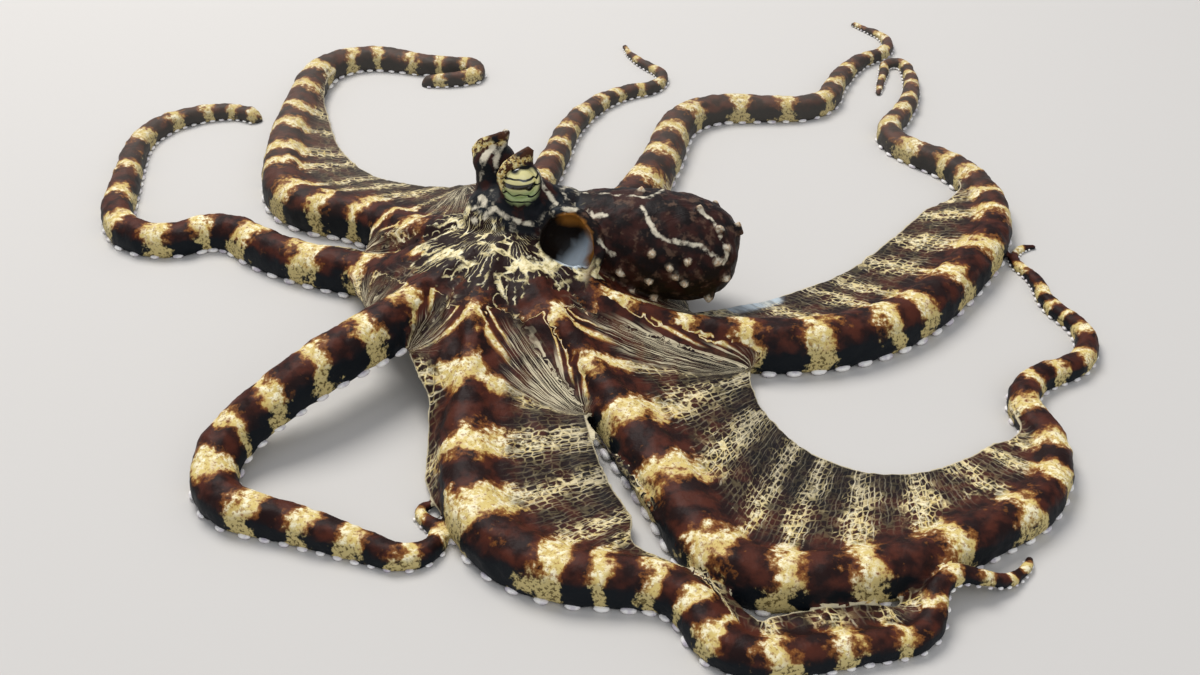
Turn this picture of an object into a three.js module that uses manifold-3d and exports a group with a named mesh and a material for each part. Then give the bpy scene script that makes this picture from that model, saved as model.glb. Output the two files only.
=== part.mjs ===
// A mimic octopus, life size, at rest on the sea floor with its arms spread: a standalone three.js model.
// Millimetres, +Z up. The head looks towards -X and the mantle trails towards +X.
import * as THREE from 'three';
import { mergeVertices } from 'three/addons/utils/BufferGeometryUtils.js';
import Module from 'manifold-3d';

const manifoldLibrary = await Module();
manifoldLibrary.setup();

// ---------------------------------------------------------------- driving dimensions
const GAP = 0.3; // clearance between neighbouring pieces
const SMALLEST_FACET = 0.12; // details of a cut smaller than this are merged away
const WEB_THICKNESS = 1.3; // the web, as a sheet
const WEB_START = 1.2; // from the edge of the crown to the first row of a web
const WEB_ROWS = 4; // rows of facets from the crown to a notch
const FIN_LEAST = 0.6; // the narrowest that a fin gets where it runs out along its arm
const FIN_CLOSING = 0.82; // share of its length after which a wide fin closes up to its arm
const BEND_STEP = 22; // degrees of bend from one arm section to the next, at most
const LENGTH_STEP = 14; // mm from one arm section to the next, at most
const ARM_HEIGHT_RATIO = 1.6; // height of an arm for each mm of its half width
const SHOULDER = 0.68; // where the web meets the arm, as a share of the arm's height
const FLOOR_CLEARANCE = 0.4; // underside of a web that lies on the floor
const RISE_FADE = 35; // mm over which the extra height of an arm at the crown fades

const CROWN_CENTRE = [1, 12];
const CROWN_TOP = 27.5;
const CROWN_UNDERSIDE = 9;

const SKIN_DARK = 0x3a1c16;
const SKIN_PALE = 0xe6d492;
const MANTLE_DARK = 0x2a1714;
const EYE_COLOUR = 0xcfcf8e;

// ---------------------------------------------------------------- the eight arms
// start, heading: where the arm's crest leaves the crown, and its bearing there, in degrees.
// bends: its course after that, as [length, turn] pairs of mm and degrees, left turns positive.
// root: where the arm comes clear of the crown. cuts: where it is divided into lengths.
// halfWidth: at the crown, and at the very tip. taper: higher keeps the arm thick for longer.
// rise: how much taller its back is at the crown.
// lift: how high its underside is at the crown, held until liftHold and on the floor from liftEnd.
// hump: a stretch that rises off the floor, [from, to, height].
const ARMS = {
  l1: {
    start: [-6, 8], heading: -137, root: 20, cuts: [64, 112], halfWidth: [6.6, 0.6], taper: 2.5, rise: 2.5,
    lift: 11, liftHold: 50, liftEnd: 98,
    bends: [[20, 13], [50, -18], [10, 13], [28, 112], [24, -6], [12, 3], [14, 118], [6, 52], [8, -150]],
  },
  l2: {
    start: [-4, 0], heading: -97, root: 16, cuts: [76, 140], halfWidth: [7.8, 0.6], taper: 1.6, rise: 2.5,
    lift: 11, liftHold: 0, liftEnd: 55, hump: [186, 222, 4],
    bends: [
      [45, 9], [25, 7], [38, 74], [12, 1], [18, -69], [20, 89], [24, -5], [14, 75], [12, -90], [20, 78],
    ],
  },
  l3: {
    start: [2, 3], heading: -61, root: 22, cuts: [96, 172, 238], halfWidth: [7.8, 0.6], taper: 1.5, rise: 2.5,
    lift: 11, liftHold: 0, liftEnd: 55,
    bends: [
      [30, 6], [60, -17], [8, 0], [22, 70], [40, 35], [16, -3], [44, 77], [18, -68], [8, -17], [30, 99],
      [14, -35], [12, 33], [18, -117],
    ],
  },
  l4: {
    start: [14, -1], heading: -29, root: 14, cuts: [92, 170, 238], halfWidth: [7.6, 0.6], taper: 1.6, rise: 2.5,
    lift: 10, liftHold: -10, liftEnd: 40,
    bends: [
      [22, 19], [34, 9], [50, 49], [34, 10], [44, 46], [20, 34], [10, -11], [18, -66], [14, 4], [36, 29],
      [11, 164], [16, -5], [6, 10],
    ],
  },
  r4: {
    start: [20, 32], heading: 62, root: 2, cuts: [84, 168], halfWidth: [6.8, 0.6], taper: 1.6, rise: 0,
    lift: 4, liftHold: 0, liftEnd: 40,
    bends: [[50, 8], [26, 9], [12, -8], [26, -70], [18, 0], [22, 72], [26, -15], [14, -24], [26, 94], [12, -5]],
  },
  r3: {
    start: [3, 40], heading: 89, root: 2, cuts: [70], halfWidth: [5.4, 0.6], taper: 1.2, rise: 1,
    lift: 8, liftHold: -8, liftEnd: 42,
    bends: [[48, -13], [18, 5], [32, -25], [20, -36], [22, 112], [24, -34]],
  },
  r2: {
    start: [-13, 14], heading: 131, root: 26, cuts: [78, 168], halfWidth: [7, 2.2], taper: 2.2, rise: 2,
    lift: 9, liftHold: 0, liftEnd: 48,
    bends: [
      [30, -12], [30, 48], [26, -63], [16, -8], [30, -6], [26, -2], [10, -10], [28, -87], [10, -10], [20, 25],
      [13, -168], [16, -20],
    ],
  },
  r1: {
    start: [-6, 9], heading: 166, root: 28, cuts: [84, 152], halfWidth: [6.6, 2.6], taper: 1.2, rise: 2,
    lift: 10, liftHold: 0, liftEnd: 42,
    bends: [
      [30, -13], [20, 6], [30, -24], [16, 76], [26, -90], [16, -25], [26, 2], [12, -9], [36, -81], [14, -54],
    ],
  },
};

// ---------------------------------------------------------------- the webs between neighbouring arms
// Neighbours are listed so that second lies to the left of first. notch: where the web ends between them.
// s: how far along each arm the notch is level with.
const WEBS = [
  { first: 'r1', second: 'l1', notch: [-36, 0], notchHeight: 8, s: [38, 34] },
  { first: 'l1', second: 'l2', notch: [-22, -24], notchHeight: 12, s: [34, 27] },
  { first: 'l2', second: 'l3', notch: [22, -43], notchHeight: 7, s: [45, 51] },
  { first: 'l3', second: 'l4', notch: [63, -21], notchHeight: 4, s: [50, 54] },
  { first: 'l4', second: 'r4', notch: [50, 8], notchHeight: 2, s: [42, 12] },
  { first: 'r4', second: 'r3', notch: [21, 60], notchHeight: 5, s: [28, 30] },
  { first: 'r3', second: 'r2', notch: [-14, 68], notchHeight: 8, s: [34, 40] },
  { first: 'r2', second: 'r1', notch: [-41, 33], notchHeight: 6, s: [38, 41] },
];

// Beyond a notch the web goes on along each arm as a fin. side: 1 is the arm's left, -1 its right.
// s: the stretch of arm that it follows. height: of its free edge, at the notch and at its far end.
// A wide fin has a free edge of its own, given by start, heading and bends, and a narrow one has its
// reach from the arm's side, at even steps. cut: where a long fin is divided, as a share.
const FINS = [
  {
    name: 'fin_l2_left', arm: 'l2', side: 1, s: [45, 128], start: [22, -43], heading: -80, height: [7, 4],
    bends: [[22, 10], [26, 22]],
  },
  { name: 'fin_l2_right', arm: 'l2', side: -1, s: [27, 72], height: [12, 2], reach: [9, 2.4, 2.4, 3.4, FIN_LEAST] },
  {
    name: 'fin_l3_left', arm: 'l3', side: 1, s: [50, 214], start: [63, -21], heading: -92, height: [4, 3], cut: 0.5,
    bends: [[11, 14], [22, 31], [23, 50], [13, 25], [14, 12], [12, 30]],
  },
  {
    name: 'fin_l4_left', arm: 'l4', side: 1, s: [42, 182], start: [50, 8], heading: 0, height: [2, 3], cut: 0.5,
    bends: [[22, 24], [38, 26], [38, 4], [10, 18]],
  },
  { name: 'fin_r4_right', arm: 'r4', side: -1, s: [12, 56], height: [2, 3], reach: [17, 7, 2.5, FIN_LEAST] },
  {
    name: 'fin_r2_right', arm: 'r2', side: -1, s: [40, 172], start: [-14, 68], heading: 195, height: [8, 3], cut: 0.5,
    bends: [[16, -40], [24, -28], [30, -20], [46, -10]],
  },
  { name: 'fin_r1_right', arm: 'r1', side: -1, s: [45, 84], height: [6, 4], reach: [4, 3.5, 2, FIN_LEAST] },
];

// ---------------------------------------------------------------- head, mantle and eyes
const MANTLE = { front: [11, 18, 23], back: [62, 12, 17.5], neck: 9, radius: 15, widestAt: 0.6, bluntness: 2.6 };
const HEAD = { centre: [2, 20, 25], radii: [13, 12, 10] };
const APERTURE = { centre: [17.3, 8.5, 24.5], radii: [8.2, 6.5, 8.2] };
const EYES = {
  left: { eye: [4.6, 15.5, 38], foot: [6.3, 17.5, 27], horn: [7.5, 17, 46.5] },
  right: { eye: [-2.8, 27, 38], foot: [-1, 25, 28], horn: [1, 28, 46.5] },
};
const EYE_RADIUS = 4.8;
const TURRET = { radii: [8.8, 5.4] }; // at the foot and round the eye
const HORN = { rootRadius: 2.2, tipRadius: 0.5 };

// ---------------------------------------------------------------- courses made of bends
const radians = THREE.MathUtils.degToRad;
const lerp = THREE.MathUtils.lerp;
const smooth = (value) => THREE.MathUtils.smoothstep(value, 0, 1);

// The point and bearing (radians) at distance s along a course of circular bends.
function along(course, s) {
  let [x, y] = course.start;
  let bearing = radians(course.heading);
  let left = s;
  for (const [length, turn] of course.bends) {
    const run = Math.min(left, length);
    const turned = radians(turn) * (run / length);
    const chord = turned === 0 ? run : (2 * run * Math.sin(turned / 2)) / turned;
    x += chord * Math.cos(bearing + turned / 2);
    y += chord * Math.sin(bearing + turned / 2);
    bearing += turned;
    left -= run;
    if (left <= 0) break;
  }
  return { x, y, bearing };
}

const courseLength = (course) => course.bends.reduce((sum, [length]) => sum + length, 0);

// Distances from one end of a stretch to the other, closer together where the course bends more.
function stations(course, from, to) {
  const marks = [from];
  let reached = 0;
  for (const [length, turn] of course.bends) {
    const steps = Math.ceil(Math.max(length / LENGTH_STEP, Math.abs(turn) / BEND_STEP));
    for (let i = 1; i <= steps; i += 1) {
      const mark = reached + (length * i) / steps;
      if (mark > marks.at(-1) + 1.5 && mark < to - 1.5) marks.push(mark);
    }
    reached += length;
  }
  marks.push(to);
  return marks;
}

// ---------------------------------------------------------------- sizes of an arm along its length
function humpAt({ hump: [from, to, height] = [0, 1, 0] }, s) {
  if (s <= from || s >= to) return 0;
  return height * Math.sin((Math.PI * (s - from)) / (to - from)) ** 2;
}

function armSize(arm, s) {
  const share = Math.min(s / courseLength(arm), 1);
  const [rootHalfWidth, tipHalfWidth] = arm.halfWidth;
  const halfWidth = lerp(tipHalfWidth, rootHalfWidth, (1 - share ** arm.taper) ** 0.9);
  const height = ARM_HEIGHT_RATIO * halfWidth + arm.rise * Math.exp(-s / RISE_FADE);
  const lift = arm.lift * (1 - smooth((s - arm.liftHold) / (arm.liftEnd - arm.liftHold))) + humpAt(arm, s);
  return { halfWidth, height, lift };
}

// A point of an arm: distance along it, across it (left positive) and height.
function armPoint(arm, s, across, z) {
  const { x, y, bearing } = along(arm, s);
  return new THREE.Vector3(x - across * Math.sin(bearing), y + across * Math.cos(bearing), z);
}

// The outline of an arm's section, from lower right, under the arm and round over its back,
// in shares of half width and height. The underside is flat.
const ARM_SECTION = [[0.8, 0], [1, 0.35], [0.72, 0.86], [0, 1], [-0.72, 0.86], [-1, 0.35], [-0.8, 0]];

function armRing(arm, s, grow) {
  const { halfWidth, height, lift } = armSize(arm, s);
  return ARM_SECTION.map(([u, v]) => (
    armPoint(arm, s, -u * (halfWidth + grow), lift - grow + v * (height + 2 * grow))
  ));
}

function armLength(arm, from, to, grow) {
  return loft(stations(arm, from - grow, to + grow).map((s) => armRing(arm, s, grow)));
}

// ---------------------------------------------------------------- solids
// A closed solid through rings with equal counts of points, closed at both ends by flat faces.
function loft(rings) {
  const count = rings[0].length;
  const index = [];
  for (let row = 0; row + 1 < rings.length; row += 1) {
    for (let i = 0; i < count; i += 1) {
      const a = row * count + i;
      const b = row * count + ((i + 1) % count);
      index.push(a, b, b + count, a, b + count, a + count);
    }
  }
  const last = (rings.length - 1) * count;
  for (let i = 1; i + 1 < count; i += 1) {
    index.push(0, i + 1, i);
    index.push(last, last + i, last + i + 1);
  }
  const geometry = new THREE.BufferGeometry().setFromPoints(rings.flat());
  geometry.setIndex(index);
  return facingOut(geometry);
}

// A closed solid between two rows of points: the top of a sheet and its underside, thickness lower.
function sheet(rows, thickness) {
  return stripLoft(rows.map((row) => ({
    top: row,
    under: row.map((point) => point.clone().setZ(Math.max(point.z - thickness, Math.min(point.z - 0.6, FLOOR_CLEARANCE)))),
  })));
}

// Lofts a sheet whose ends are strips, so that its end faces are not fans across a bent outline.
function stripLoft(rows) {
  const count = rows[0].top.length;
  const points = rows.flatMap(({ top, under }) => [...top, ...under]);
  const at = (row, i, under) => row * 2 * count + (under ? count : 0) + i;
  const index = [];
  const quad = (a, b, c, d) => index.push(a, b, c, a, c, d);
  for (let row = 0; row + 1 < rows.length; row += 1) {
    for (let i = 0; i + 1 < count; i += 1) {
      quad(at(row, i), at(row, i + 1), at(row + 1, i + 1), at(row + 1, i));
      quad(at(row, i, true), at(row + 1, i, true), at(row + 1, i + 1, true), at(row, i + 1, true));
    }
    quad(at(row, 0), at(row + 1, 0), at(row + 1, 0, true), at(row, 0, true));
    quad(at(row, count - 1, true), at(row + 1, count - 1, true), at(row + 1, count - 1), at(row, count - 1));
  }
  const last = rows.length - 1;
  for (let i = 0; i + 1 < count; i += 1) {
    quad(at(0, i, true), at(0, i + 1, true), at(0, i + 1), at(0, i));
    quad(at(last, i), at(last, i + 1), at(last, i + 1, true), at(last, i, true));
  }
  const geometry = new THREE.BufferGeometry().setFromPoints(points);
  geometry.setIndex(index);
  return facingOut(geometry);
}

// Turns a closed geometry the right way round if its faces point inwards.
function facingOut(geometry) {
  const position = geometry.attributes.position;
  const index = geometry.index.array;
  const [a, b, c] = [new THREE.Vector3(), new THREE.Vector3(), new THREE.Vector3()];
  let volume = 0;
  for (let i = 0; i < index.length; i += 3) {
    a.fromBufferAttribute(position, index[i]);
    b.fromBufferAttribute(position, index[i + 1]);
    c.fromBufferAttribute(position, index[i + 2]);
    volume += a.dot(b.cross(c));
  }
  if (volume < 0) {
    for (let i = 0; i < index.length; i += 3) [index[i], index[i + 1]] = [index[i + 1], index[i]];
  }
  return geometry;
}

function toManifold(geometry) {
  const bare = geometry.clone();
  bare.deleteAttribute('normal');
  bare.deleteAttribute('uv');
  const merged = mergeVertices(bare, 1e-4);
  return new manifoldLibrary.Manifold(new manifoldLibrary.Mesh({
    numProp: 3,
    vertProperties: new Float32Array(merged.attributes.position.array),
    triVerts: new Uint32Array(merged.index.array),
  }));
}

function toGeometry(solid) {
  const mesh = solid.getMesh();
  const geometry = new THREE.BufferGeometry();
  geometry.setAttribute('position', new THREE.BufferAttribute(new Float32Array(mesh.vertProperties), 3));
  geometry.setIndex(new THREE.BufferAttribute(new Uint32Array(mesh.triVerts), 1));
  return geometry;
}

// Cuts the solids in cutters away from a geometry and keeps its largest piece.
function cutBy(geometry, cutters) {
  const rest = cutters.reduce((solid, cutter) => solid.subtract(cutter), toManifold(geometry));
  const largest = rest.decompose().reduce((most, piece) => (piece.volume() > most.volume() ? piece : most));
  return toGeometry(largest.asOriginal().simplify(SMALLEST_FACET));
}

function ellipsoid(centre, radii, grow = 0, around = 16, down = 10) {
  const geometry = new THREE.SphereGeometry(1, around, down);
  geometry.scale(...radii.map((radius) => radius + grow));
  geometry.translate(...centre);
  return geometry;
}

// ---------------------------------------------------------------- mantle, head, turrets, horns
function mantleRadius(share) {
  const { neck, radius, widestAt, bluntness } = MANTLE;
  if (share < widestAt) return lerp(neck, radius, Math.sin((share / widestAt) * (Math.PI / 2)));
  return radius * (1 - ((share - widestAt) / (1 - widestAt)) ** bluntness) ** (1 / bluntness);
}

function mantleGeometry(grow) {
  const shares = [0, 0.12, 0.28, 0.45, 0.62, 0.76, 0.87, 0.94, 0.985];
  const front = new THREE.Vector3(...MANTLE.front);
  const back = new THREE.Vector3(...MANTLE.back);
  const rings = shares.map((share) => {
    const middle = front.clone().lerp(back, share + (grow * share) / 50);
    const radius = mantleRadius(share) + grow;
    return Array.from({ length: 16 }, (_, i) => {
      const angle = (i / 16) * 2 * Math.PI;
      return new THREE.Vector3(0, radius * Math.cos(angle), radius * Math.sin(angle)).add(middle);
    });
  });
  return loft(rings);
}

function taperedPost(foot, top, footRadius, topRadius, sides) {
  const axis = new THREE.Vector3(...top).sub(new THREE.Vector3(...foot));
  const geometry = new THREE.CylinderGeometry(topRadius, footRadius, axis.length(), sides);
  geometry.applyQuaternion(new THREE.Quaternion().setFromUnitVectors(new THREE.Vector3(0, 1, 0), axis.clone().normalize()));
  geometry.translate(...new THREE.Vector3(...foot).addScaledVector(axis, 0.5).toArray());
  return geometry;
}

// ---------------------------------------------------------------- crown
// The rim of the crown: at each arm its root section's two shoulders and crest, and between arms the web.
function crownRim(inset) {
  const names = WEBS.map((web) => web.first);
  return names.flatMap((name, i) => {
    const arm = ARMS[name];
    const next = ARMS[names[(i + 1) % names.length]];
    const s = arm.root - inset;
    const { halfWidth, height, lift } = armSize(arm, s);
    const right = armPoint(arm, s, -halfWidth, lift + SHOULDER * height);
    const crest = armPoint(arm, s, 0, lift + height);
    const left = armPoint(arm, s, halfWidth, lift + SHOULDER * height);
    const nextSize = armSize(next, next.root - inset);
    const nextRight = armPoint(next, next.root - inset, -nextSize.halfWidth, nextSize.lift + SHOULDER * nextSize.height);
    const between = left.clone().lerp(nextRight, 0.5);
    return [right, crest, left, between];
  });
}

function crownGeometry(grow) {
  const rim = crownRim(3 * GAP - 2 * grow);
  const count = rim.length;
  const centre = new THREE.Vector3(...CROWN_CENTRE, CROWN_TOP + grow);
  const underside = CROWN_UNDERSIDE - grow;
  const points = [centre];
  const shares = [0.4, 1];
  shares.forEach((share) => rim.forEach((point) => {
    const flat = centre.clone().lerp(point, share);
    flat.z = lerp(CROWN_TOP, point.z, smooth(share)) + grow;
    points.push(flat);
  }));
  rim.forEach((point) => points.push(point.clone().setZ(underside)));
  points.push(centre.clone().setZ(underside));
  const index = [];
  for (let i = 0; i < count; i += 1) {
    const j = (i + 1) % count;
    index.push(0, 1 + i, 1 + j);
    for (let ring = 0; ring < shares.length; ring += 1) {
      const a = 1 + ring * count;
      index.push(a + i, a + count + i, a + count + j, a + i, a + count + j, a + j);
    }
    const under = 1 + shares.length * count;
    index.push(under + i, under + count, under + j);
  }
  const geometry = new THREE.BufferGeometry().setFromPoints(points);
  geometry.setIndex(index);
  return facingOut(geometry);
}

// ---------------------------------------------------------------- webs and fins
// A row of a web from the side of one arm to a point at its free side, hanging a little between them.
function webRow(arm, s, side, outer, steps, gap = GAP) {
  const { halfWidth, height, lift } = armSize(arm, s);
  const inner = armPoint(arm, s, side * (halfWidth + gap), lift + SHOULDER * height);
  return Array.from({ length: steps + 1 }, (_, i) => {
    const share = i / steps;
    const point = inner.clone().lerp(outer, share);
    point.z = lerp(outer.z, inner.z, (1 - share) ** 1.5);
    return point;
  });
}

function webGeometry({ first, second, notch, notchHeight, s }) {
  const [armA, armB] = [ARMS[first], ARMS[second]];
  const [rootA, rootB] = [armA.root + WEB_START, armB.root + WEB_START];
  const sizeA = armSize(armA, rootA);
  const sizeB = armSize(armB, rootB);
  const sideA = armPoint(armA, rootA, sizeA.halfWidth, sizeA.lift + SHOULDER * sizeA.height);
  const sideB = armPoint(armB, rootB, -sizeB.halfWidth, sizeB.lift + SHOULDER * sizeB.height);
  const rimMiddle = sideA.clone().lerp(sideB, 0.5);
  const tip = new THREE.Vector3(...notch, notchHeight);
  const rows = [];
  for (let i = 0; i <= WEB_ROWS; i += 1) {
    const share = i / WEB_ROWS;
    const middle = rimMiddle.clone().lerp(tip, 1 - (1 - share) ** 1.6);
    const left = webRow(armA, lerp(rootA, s[0], share), 1, middle, 2);
    const right = webRow(armB, lerp(rootB, s[1], share), -1, middle, 2);
    rows.push([...left, ...right.reverse().slice(1)]);
  }
  return sheet(rows, WEB_THICKNESS);
}

// The value at a share of the way through a list of evenly spaced values.
function valueAt(values, share) {
  const place = share * (values.length - 1);
  const before = Math.min(Math.floor(place), values.length - 2);
  return lerp(values[before], values[before + 1], place - before);
}

// A point on the free edge of a fin, at a share of the way from its notch to its far end.
function finEdge(fin, arm, s, share) {
  const { halfWidth, height, lift } = armSize(arm, s);
  const side = fin.side * (halfWidth + GAP);
  if (fin.reach) {
    return armPoint(arm, s, side + fin.side * valueAt(fin.reach, share), lerp(...fin.height, smooth(share * 1.5)));
  }
  const { x, y } = along(fin, courseLength(fin) * share);
  const rest = armPoint(arm, s, side + fin.side * FIN_LEAST, lift + SHOULDER * height - 0.4);
  const edge = new THREE.Vector3(x, y, lerp(...fin.height, smooth(share * 2)));
  return edge.lerp(rest, smooth((share - FIN_CLOSING) / (1 - FIN_CLOSING)));
}

function finRows(fin, from, to, count) {
  const arm = ARMS[fin.arm];
  return Array.from({ length: count + 1 }, (_, i) => {
    const share = lerp(from, to, i / count);
    const s = lerp(fin.s[0], fin.s[1], share);
    return webRow(arm, s, fin.side, finEdge(fin, arm, s, share), 2);
  });
}

function finGeometries(fin) {
  const length = fin.s[1] - fin.s[0];
  const gap = (2 * GAP) / length;
  const spans = fin.cut ? [[gap, fin.cut - gap / 2], [fin.cut + gap / 2, 1]] : [[gap, 1]];
  return spans.map(([from, to], i) => [
    spans.length > 1 ? `${fin.name}_${'ab'[i]}` : fin.name,
    sheet(finRows(fin, from, to, Math.round((to - from) * (length / 10))), WEB_THICKNESS),
  ]);
}

// ---------------------------------------------------------------- assembly
const octopus = new THREE.Group();
const LENGTH_NAMES = ['base', 'middle', 'outer', 'tip'];
const EYE_RADII = [EYE_RADIUS, EYE_RADIUS, EYE_RADIUS];
const placed = []; // the outer limits of pieces that later ones are cut clear of

// Adds a piece, cut clear of those already placed. outer: the same piece grown by the gap, for later cuts.
function addPiece(name, geometry, colour, outer = null, roughness = 0.45) {
  const clear = cutBy(geometry, placed);
  const material = new THREE.MeshStandardMaterial({ color: colour, roughness, metalness: 0 });
  const mesh = new THREE.Mesh(clear, material);
  mesh.name = name;
  octopus.add(mesh);
  if (outer) placed.push(toManifold(outer));
}

function addArms() {
  for (const [name, arm] of Object.entries(ARMS)) {
    const cuts = [arm.root, ...arm.cuts, courseLength(arm)];
    for (let i = 0; i + 1 < cuts.length; i += 1) {
      const last = i + 2 === cuts.length;
      const from = cuts[i] + (i === 0 ? 0 : GAP / 2);
      const to = last ? cuts[i + 1] : cuts[i + 1] - GAP / 2;
      const label = last ? 'tip' : LENGTH_NAMES[i];
      const outer = armLength(arm, from, to, GAP * 0.9);
      addPiece(`arm_${name}_${label}`, armLength(arm, from, to, 0), i % 2 ? SKIN_PALE : SKIN_DARK, outer);
    }
  }
}

function build() {
  const aperture = toManifold(ellipsoid(APERTURE.centre, APERTURE.radii));
  placed.push(aperture);
  for (const [side, { eye, horn }] of Object.entries(EYES)) {
    addPiece(`eye_${side}`, ellipsoid(eye, EYE_RADII), EYE_COLOUR, ellipsoid(eye, EYE_RADII, GAP), 0.2);
    addPiece(`horn_${side}`, taperedPost(eye, horn, HORN.rootRadius, HORN.tipRadius, 6), SKIN_DARK);
  }
  addPiece('mantle', mantleGeometry(0), MANTLE_DARK, mantleGeometry(GAP), 0.5);
  addPiece('head', ellipsoid(HEAD.centre, HEAD.radii), SKIN_DARK, ellipsoid(HEAD.centre, HEAD.radii, GAP));
  for (const [side, { eye, foot }] of Object.entries(EYES)) {
    const [footRadius, topRadius] = TURRET.radii;
    const outer = taperedPost(foot, eye, footRadius + GAP, topRadius + GAP, 12);
    addPiece(`turret_${side}`, taperedPost(foot, eye, footRadius, topRadius, 12), SKIN_DARK, outer);
  }
  addArms();
  addPiece('crown', crownGeometry(0), SKIN_PALE, crownGeometry(GAP));
  for (const web of WEBS) addPiece(`web_${web.first}_${web.second}`, webGeometry(web), SKIN_DARK);
  for (const fin of FINS) {
    for (const [name, geometry] of finGeometries(fin)) addPiece(name, geometry, SKIN_DARK);
  }
}

build();

// The origin is at the middle of the footprint, on the floor.
const box = new THREE.Box3().setFromObject(octopus);
const middle = box.getCenter(new THREE.Vector3());
octopus.position.set(-middle.x, -middle.y, 0);

export default octopus;
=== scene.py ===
"""A mimic octopus, life size, at rest on a pale floor with its arms spread: the looks of the model.

One skin covers the mantle, head, crown, arms and webs. The suckers and the eyes are pieces of their own.
"""

import logging
import math
from collections.abc import Callable, Sequence
from dataclasses import dataclass, field
from enum import Enum
from functools import partial

import bpy
import numpy as np
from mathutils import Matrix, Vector
from mathutils.bvhtree import BVHTree


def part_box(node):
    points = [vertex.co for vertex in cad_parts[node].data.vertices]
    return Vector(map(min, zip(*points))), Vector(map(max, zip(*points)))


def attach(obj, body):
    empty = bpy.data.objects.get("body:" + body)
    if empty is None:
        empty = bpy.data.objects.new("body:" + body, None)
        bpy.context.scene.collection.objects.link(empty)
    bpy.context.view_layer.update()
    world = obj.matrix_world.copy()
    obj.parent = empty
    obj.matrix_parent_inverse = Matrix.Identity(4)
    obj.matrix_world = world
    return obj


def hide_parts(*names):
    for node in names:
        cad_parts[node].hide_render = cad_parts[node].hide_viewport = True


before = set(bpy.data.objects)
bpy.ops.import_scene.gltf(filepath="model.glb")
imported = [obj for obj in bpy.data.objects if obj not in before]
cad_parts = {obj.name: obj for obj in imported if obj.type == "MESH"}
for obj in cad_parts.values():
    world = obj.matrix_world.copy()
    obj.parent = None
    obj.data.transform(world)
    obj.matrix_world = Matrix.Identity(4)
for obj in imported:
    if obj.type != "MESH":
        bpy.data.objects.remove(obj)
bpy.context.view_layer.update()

log = logging.getLogger("octopus")
MM = 0.001  # metres in a millimetre
Array = np.ndarray
Number = float | Array
Pair = tuple[float, float]
Triple = tuple[float, float, float]
Object = bpy.types.Object
Mesh = bpy.types.Mesh
Material = bpy.types.Material
Socket = bpy.types.NodeSocket


# ---- small helpers
def lerp(start: Number, end: Number, share: Number) -> Number:
    """The value at a share of the way from start to end."""
    return start + (end - start) * share


def smooth(value: Number) -> Number:
    """An eased step from 0 to 1 while value goes from 0 to 1."""
    held = np.clip(value, 0.0, 1.0)
    return held * held * (3.0 - 2.0 * held)


def row_frame_shift() -> Array:
    """Where the crown's own origin lies in the row frame, in mm, found from the left eye's solid."""
    low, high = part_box("eye_left")
    return (np.array(low) + np.array(high)) * 0.5 / MM - np.array(EYES[0].centre)


def to_metres(points: Array) -> Array:
    """Points measured from the crown, in mm, as places in the row frame, in metres."""
    return (np.asarray(points, float) + row_frame_shift()) * MM


def only(piece: Object) -> None:
    """Leaves edit mode and makes piece the one selected and active object.

    Args:
        piece: The object.
    """
    if bpy.context.object and bpy.context.object.mode != "OBJECT":
        bpy.ops.object.mode_set(mode="OBJECT")
    bpy.ops.object.select_all(action="DESELECT")
    piece.hide_set(False)
    piece.select_set(True)
    bpy.context.view_layer.objects.active = piece


def apply_modifier(piece: Object, kind: str, **settings: object) -> None:
    """Adds one modifier to piece and applies it.

    Args:
        piece: The mesh object.
        kind: The modifier's type.
        settings: Values for the modifier.
    """
    only(piece)
    modifier = piece.modifiers.new(kind.lower(), kind)
    for name, value in settings.items():
        setattr(modifier, name, value)
    bpy.ops.object.modifier_apply(modifier=modifier.name)


def join(pieces: list[Object], name: str) -> Object:
    """Joins pieces into the first of them.

    Args:
        pieces: The mesh objects to join.
        name: What the joined object is called.

    Returns:
        The joined object.
    """
    only(pieces[0])
    for piece in pieces[1:]:
        piece.select_set(True)
    bpy.ops.object.join()
    joined = bpy.context.view_layer.objects.active
    joined.name = joined.data.name = name
    return joined


def mesh_piece(name: str, points: Array, faces: list[tuple[int, ...]]) -> Object:
    """A mesh object from points in mm measured from the crown.

    Args:
        name: The object's name.
        points: One row for each point.
        faces: Corners of each face, by point number.

    Returns:
        The new object, in the row frame.
    """
    mesh = bpy.data.meshes.new(name)
    mesh.from_pydata(to_metres(points).tolist(), [], faces)
    mesh.update()
    piece = bpy.data.objects.new(name, mesh)
    bpy.context.scene.collection.objects.link(piece)
    return piece


def grid_faces(rows: int, columns: int, closed: bool = False, first: int = 0) -> list[tuple[int, ...]]:
    """Quads of a grid of points laid out row by row.

    Args:
        rows: How many rows of points.
        columns: How many points in a row.
        closed: Whether the last column joins the first.
        first: The number of the grid's first point.

    Returns:
        The quads.
    """
    across = columns if closed else columns - 1
    faces = []
    for start in range(first, first + (rows - 1) * columns, columns):
        for i in range(across):
            here, beside = start + i, start + (i + 1) % columns
            faces.append((here, beside, beside + columns, here + columns))
    return faces


def face_outwards(piece: Object) -> None:
    """Recalculates the normals of a closed mesh so that they point outwards.

    Args:
        piece: The mesh object.
    """
    only(piece)
    bpy.ops.object.mode_set(mode="EDIT")
    bpy.ops.mesh.select_all(action="SELECT")
    bpy.ops.mesh.normals_make_consistent(inside=False)
    bpy.ops.object.mode_set(mode="OBJECT")


def settle(piece: Object) -> None:
    """Puts a piece's place into its mesh, so that its object sits at the origin, unturned."""
    only(piece)
    bpy.ops.object.transform_apply(location=True, rotation=True, scale=True)


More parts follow.
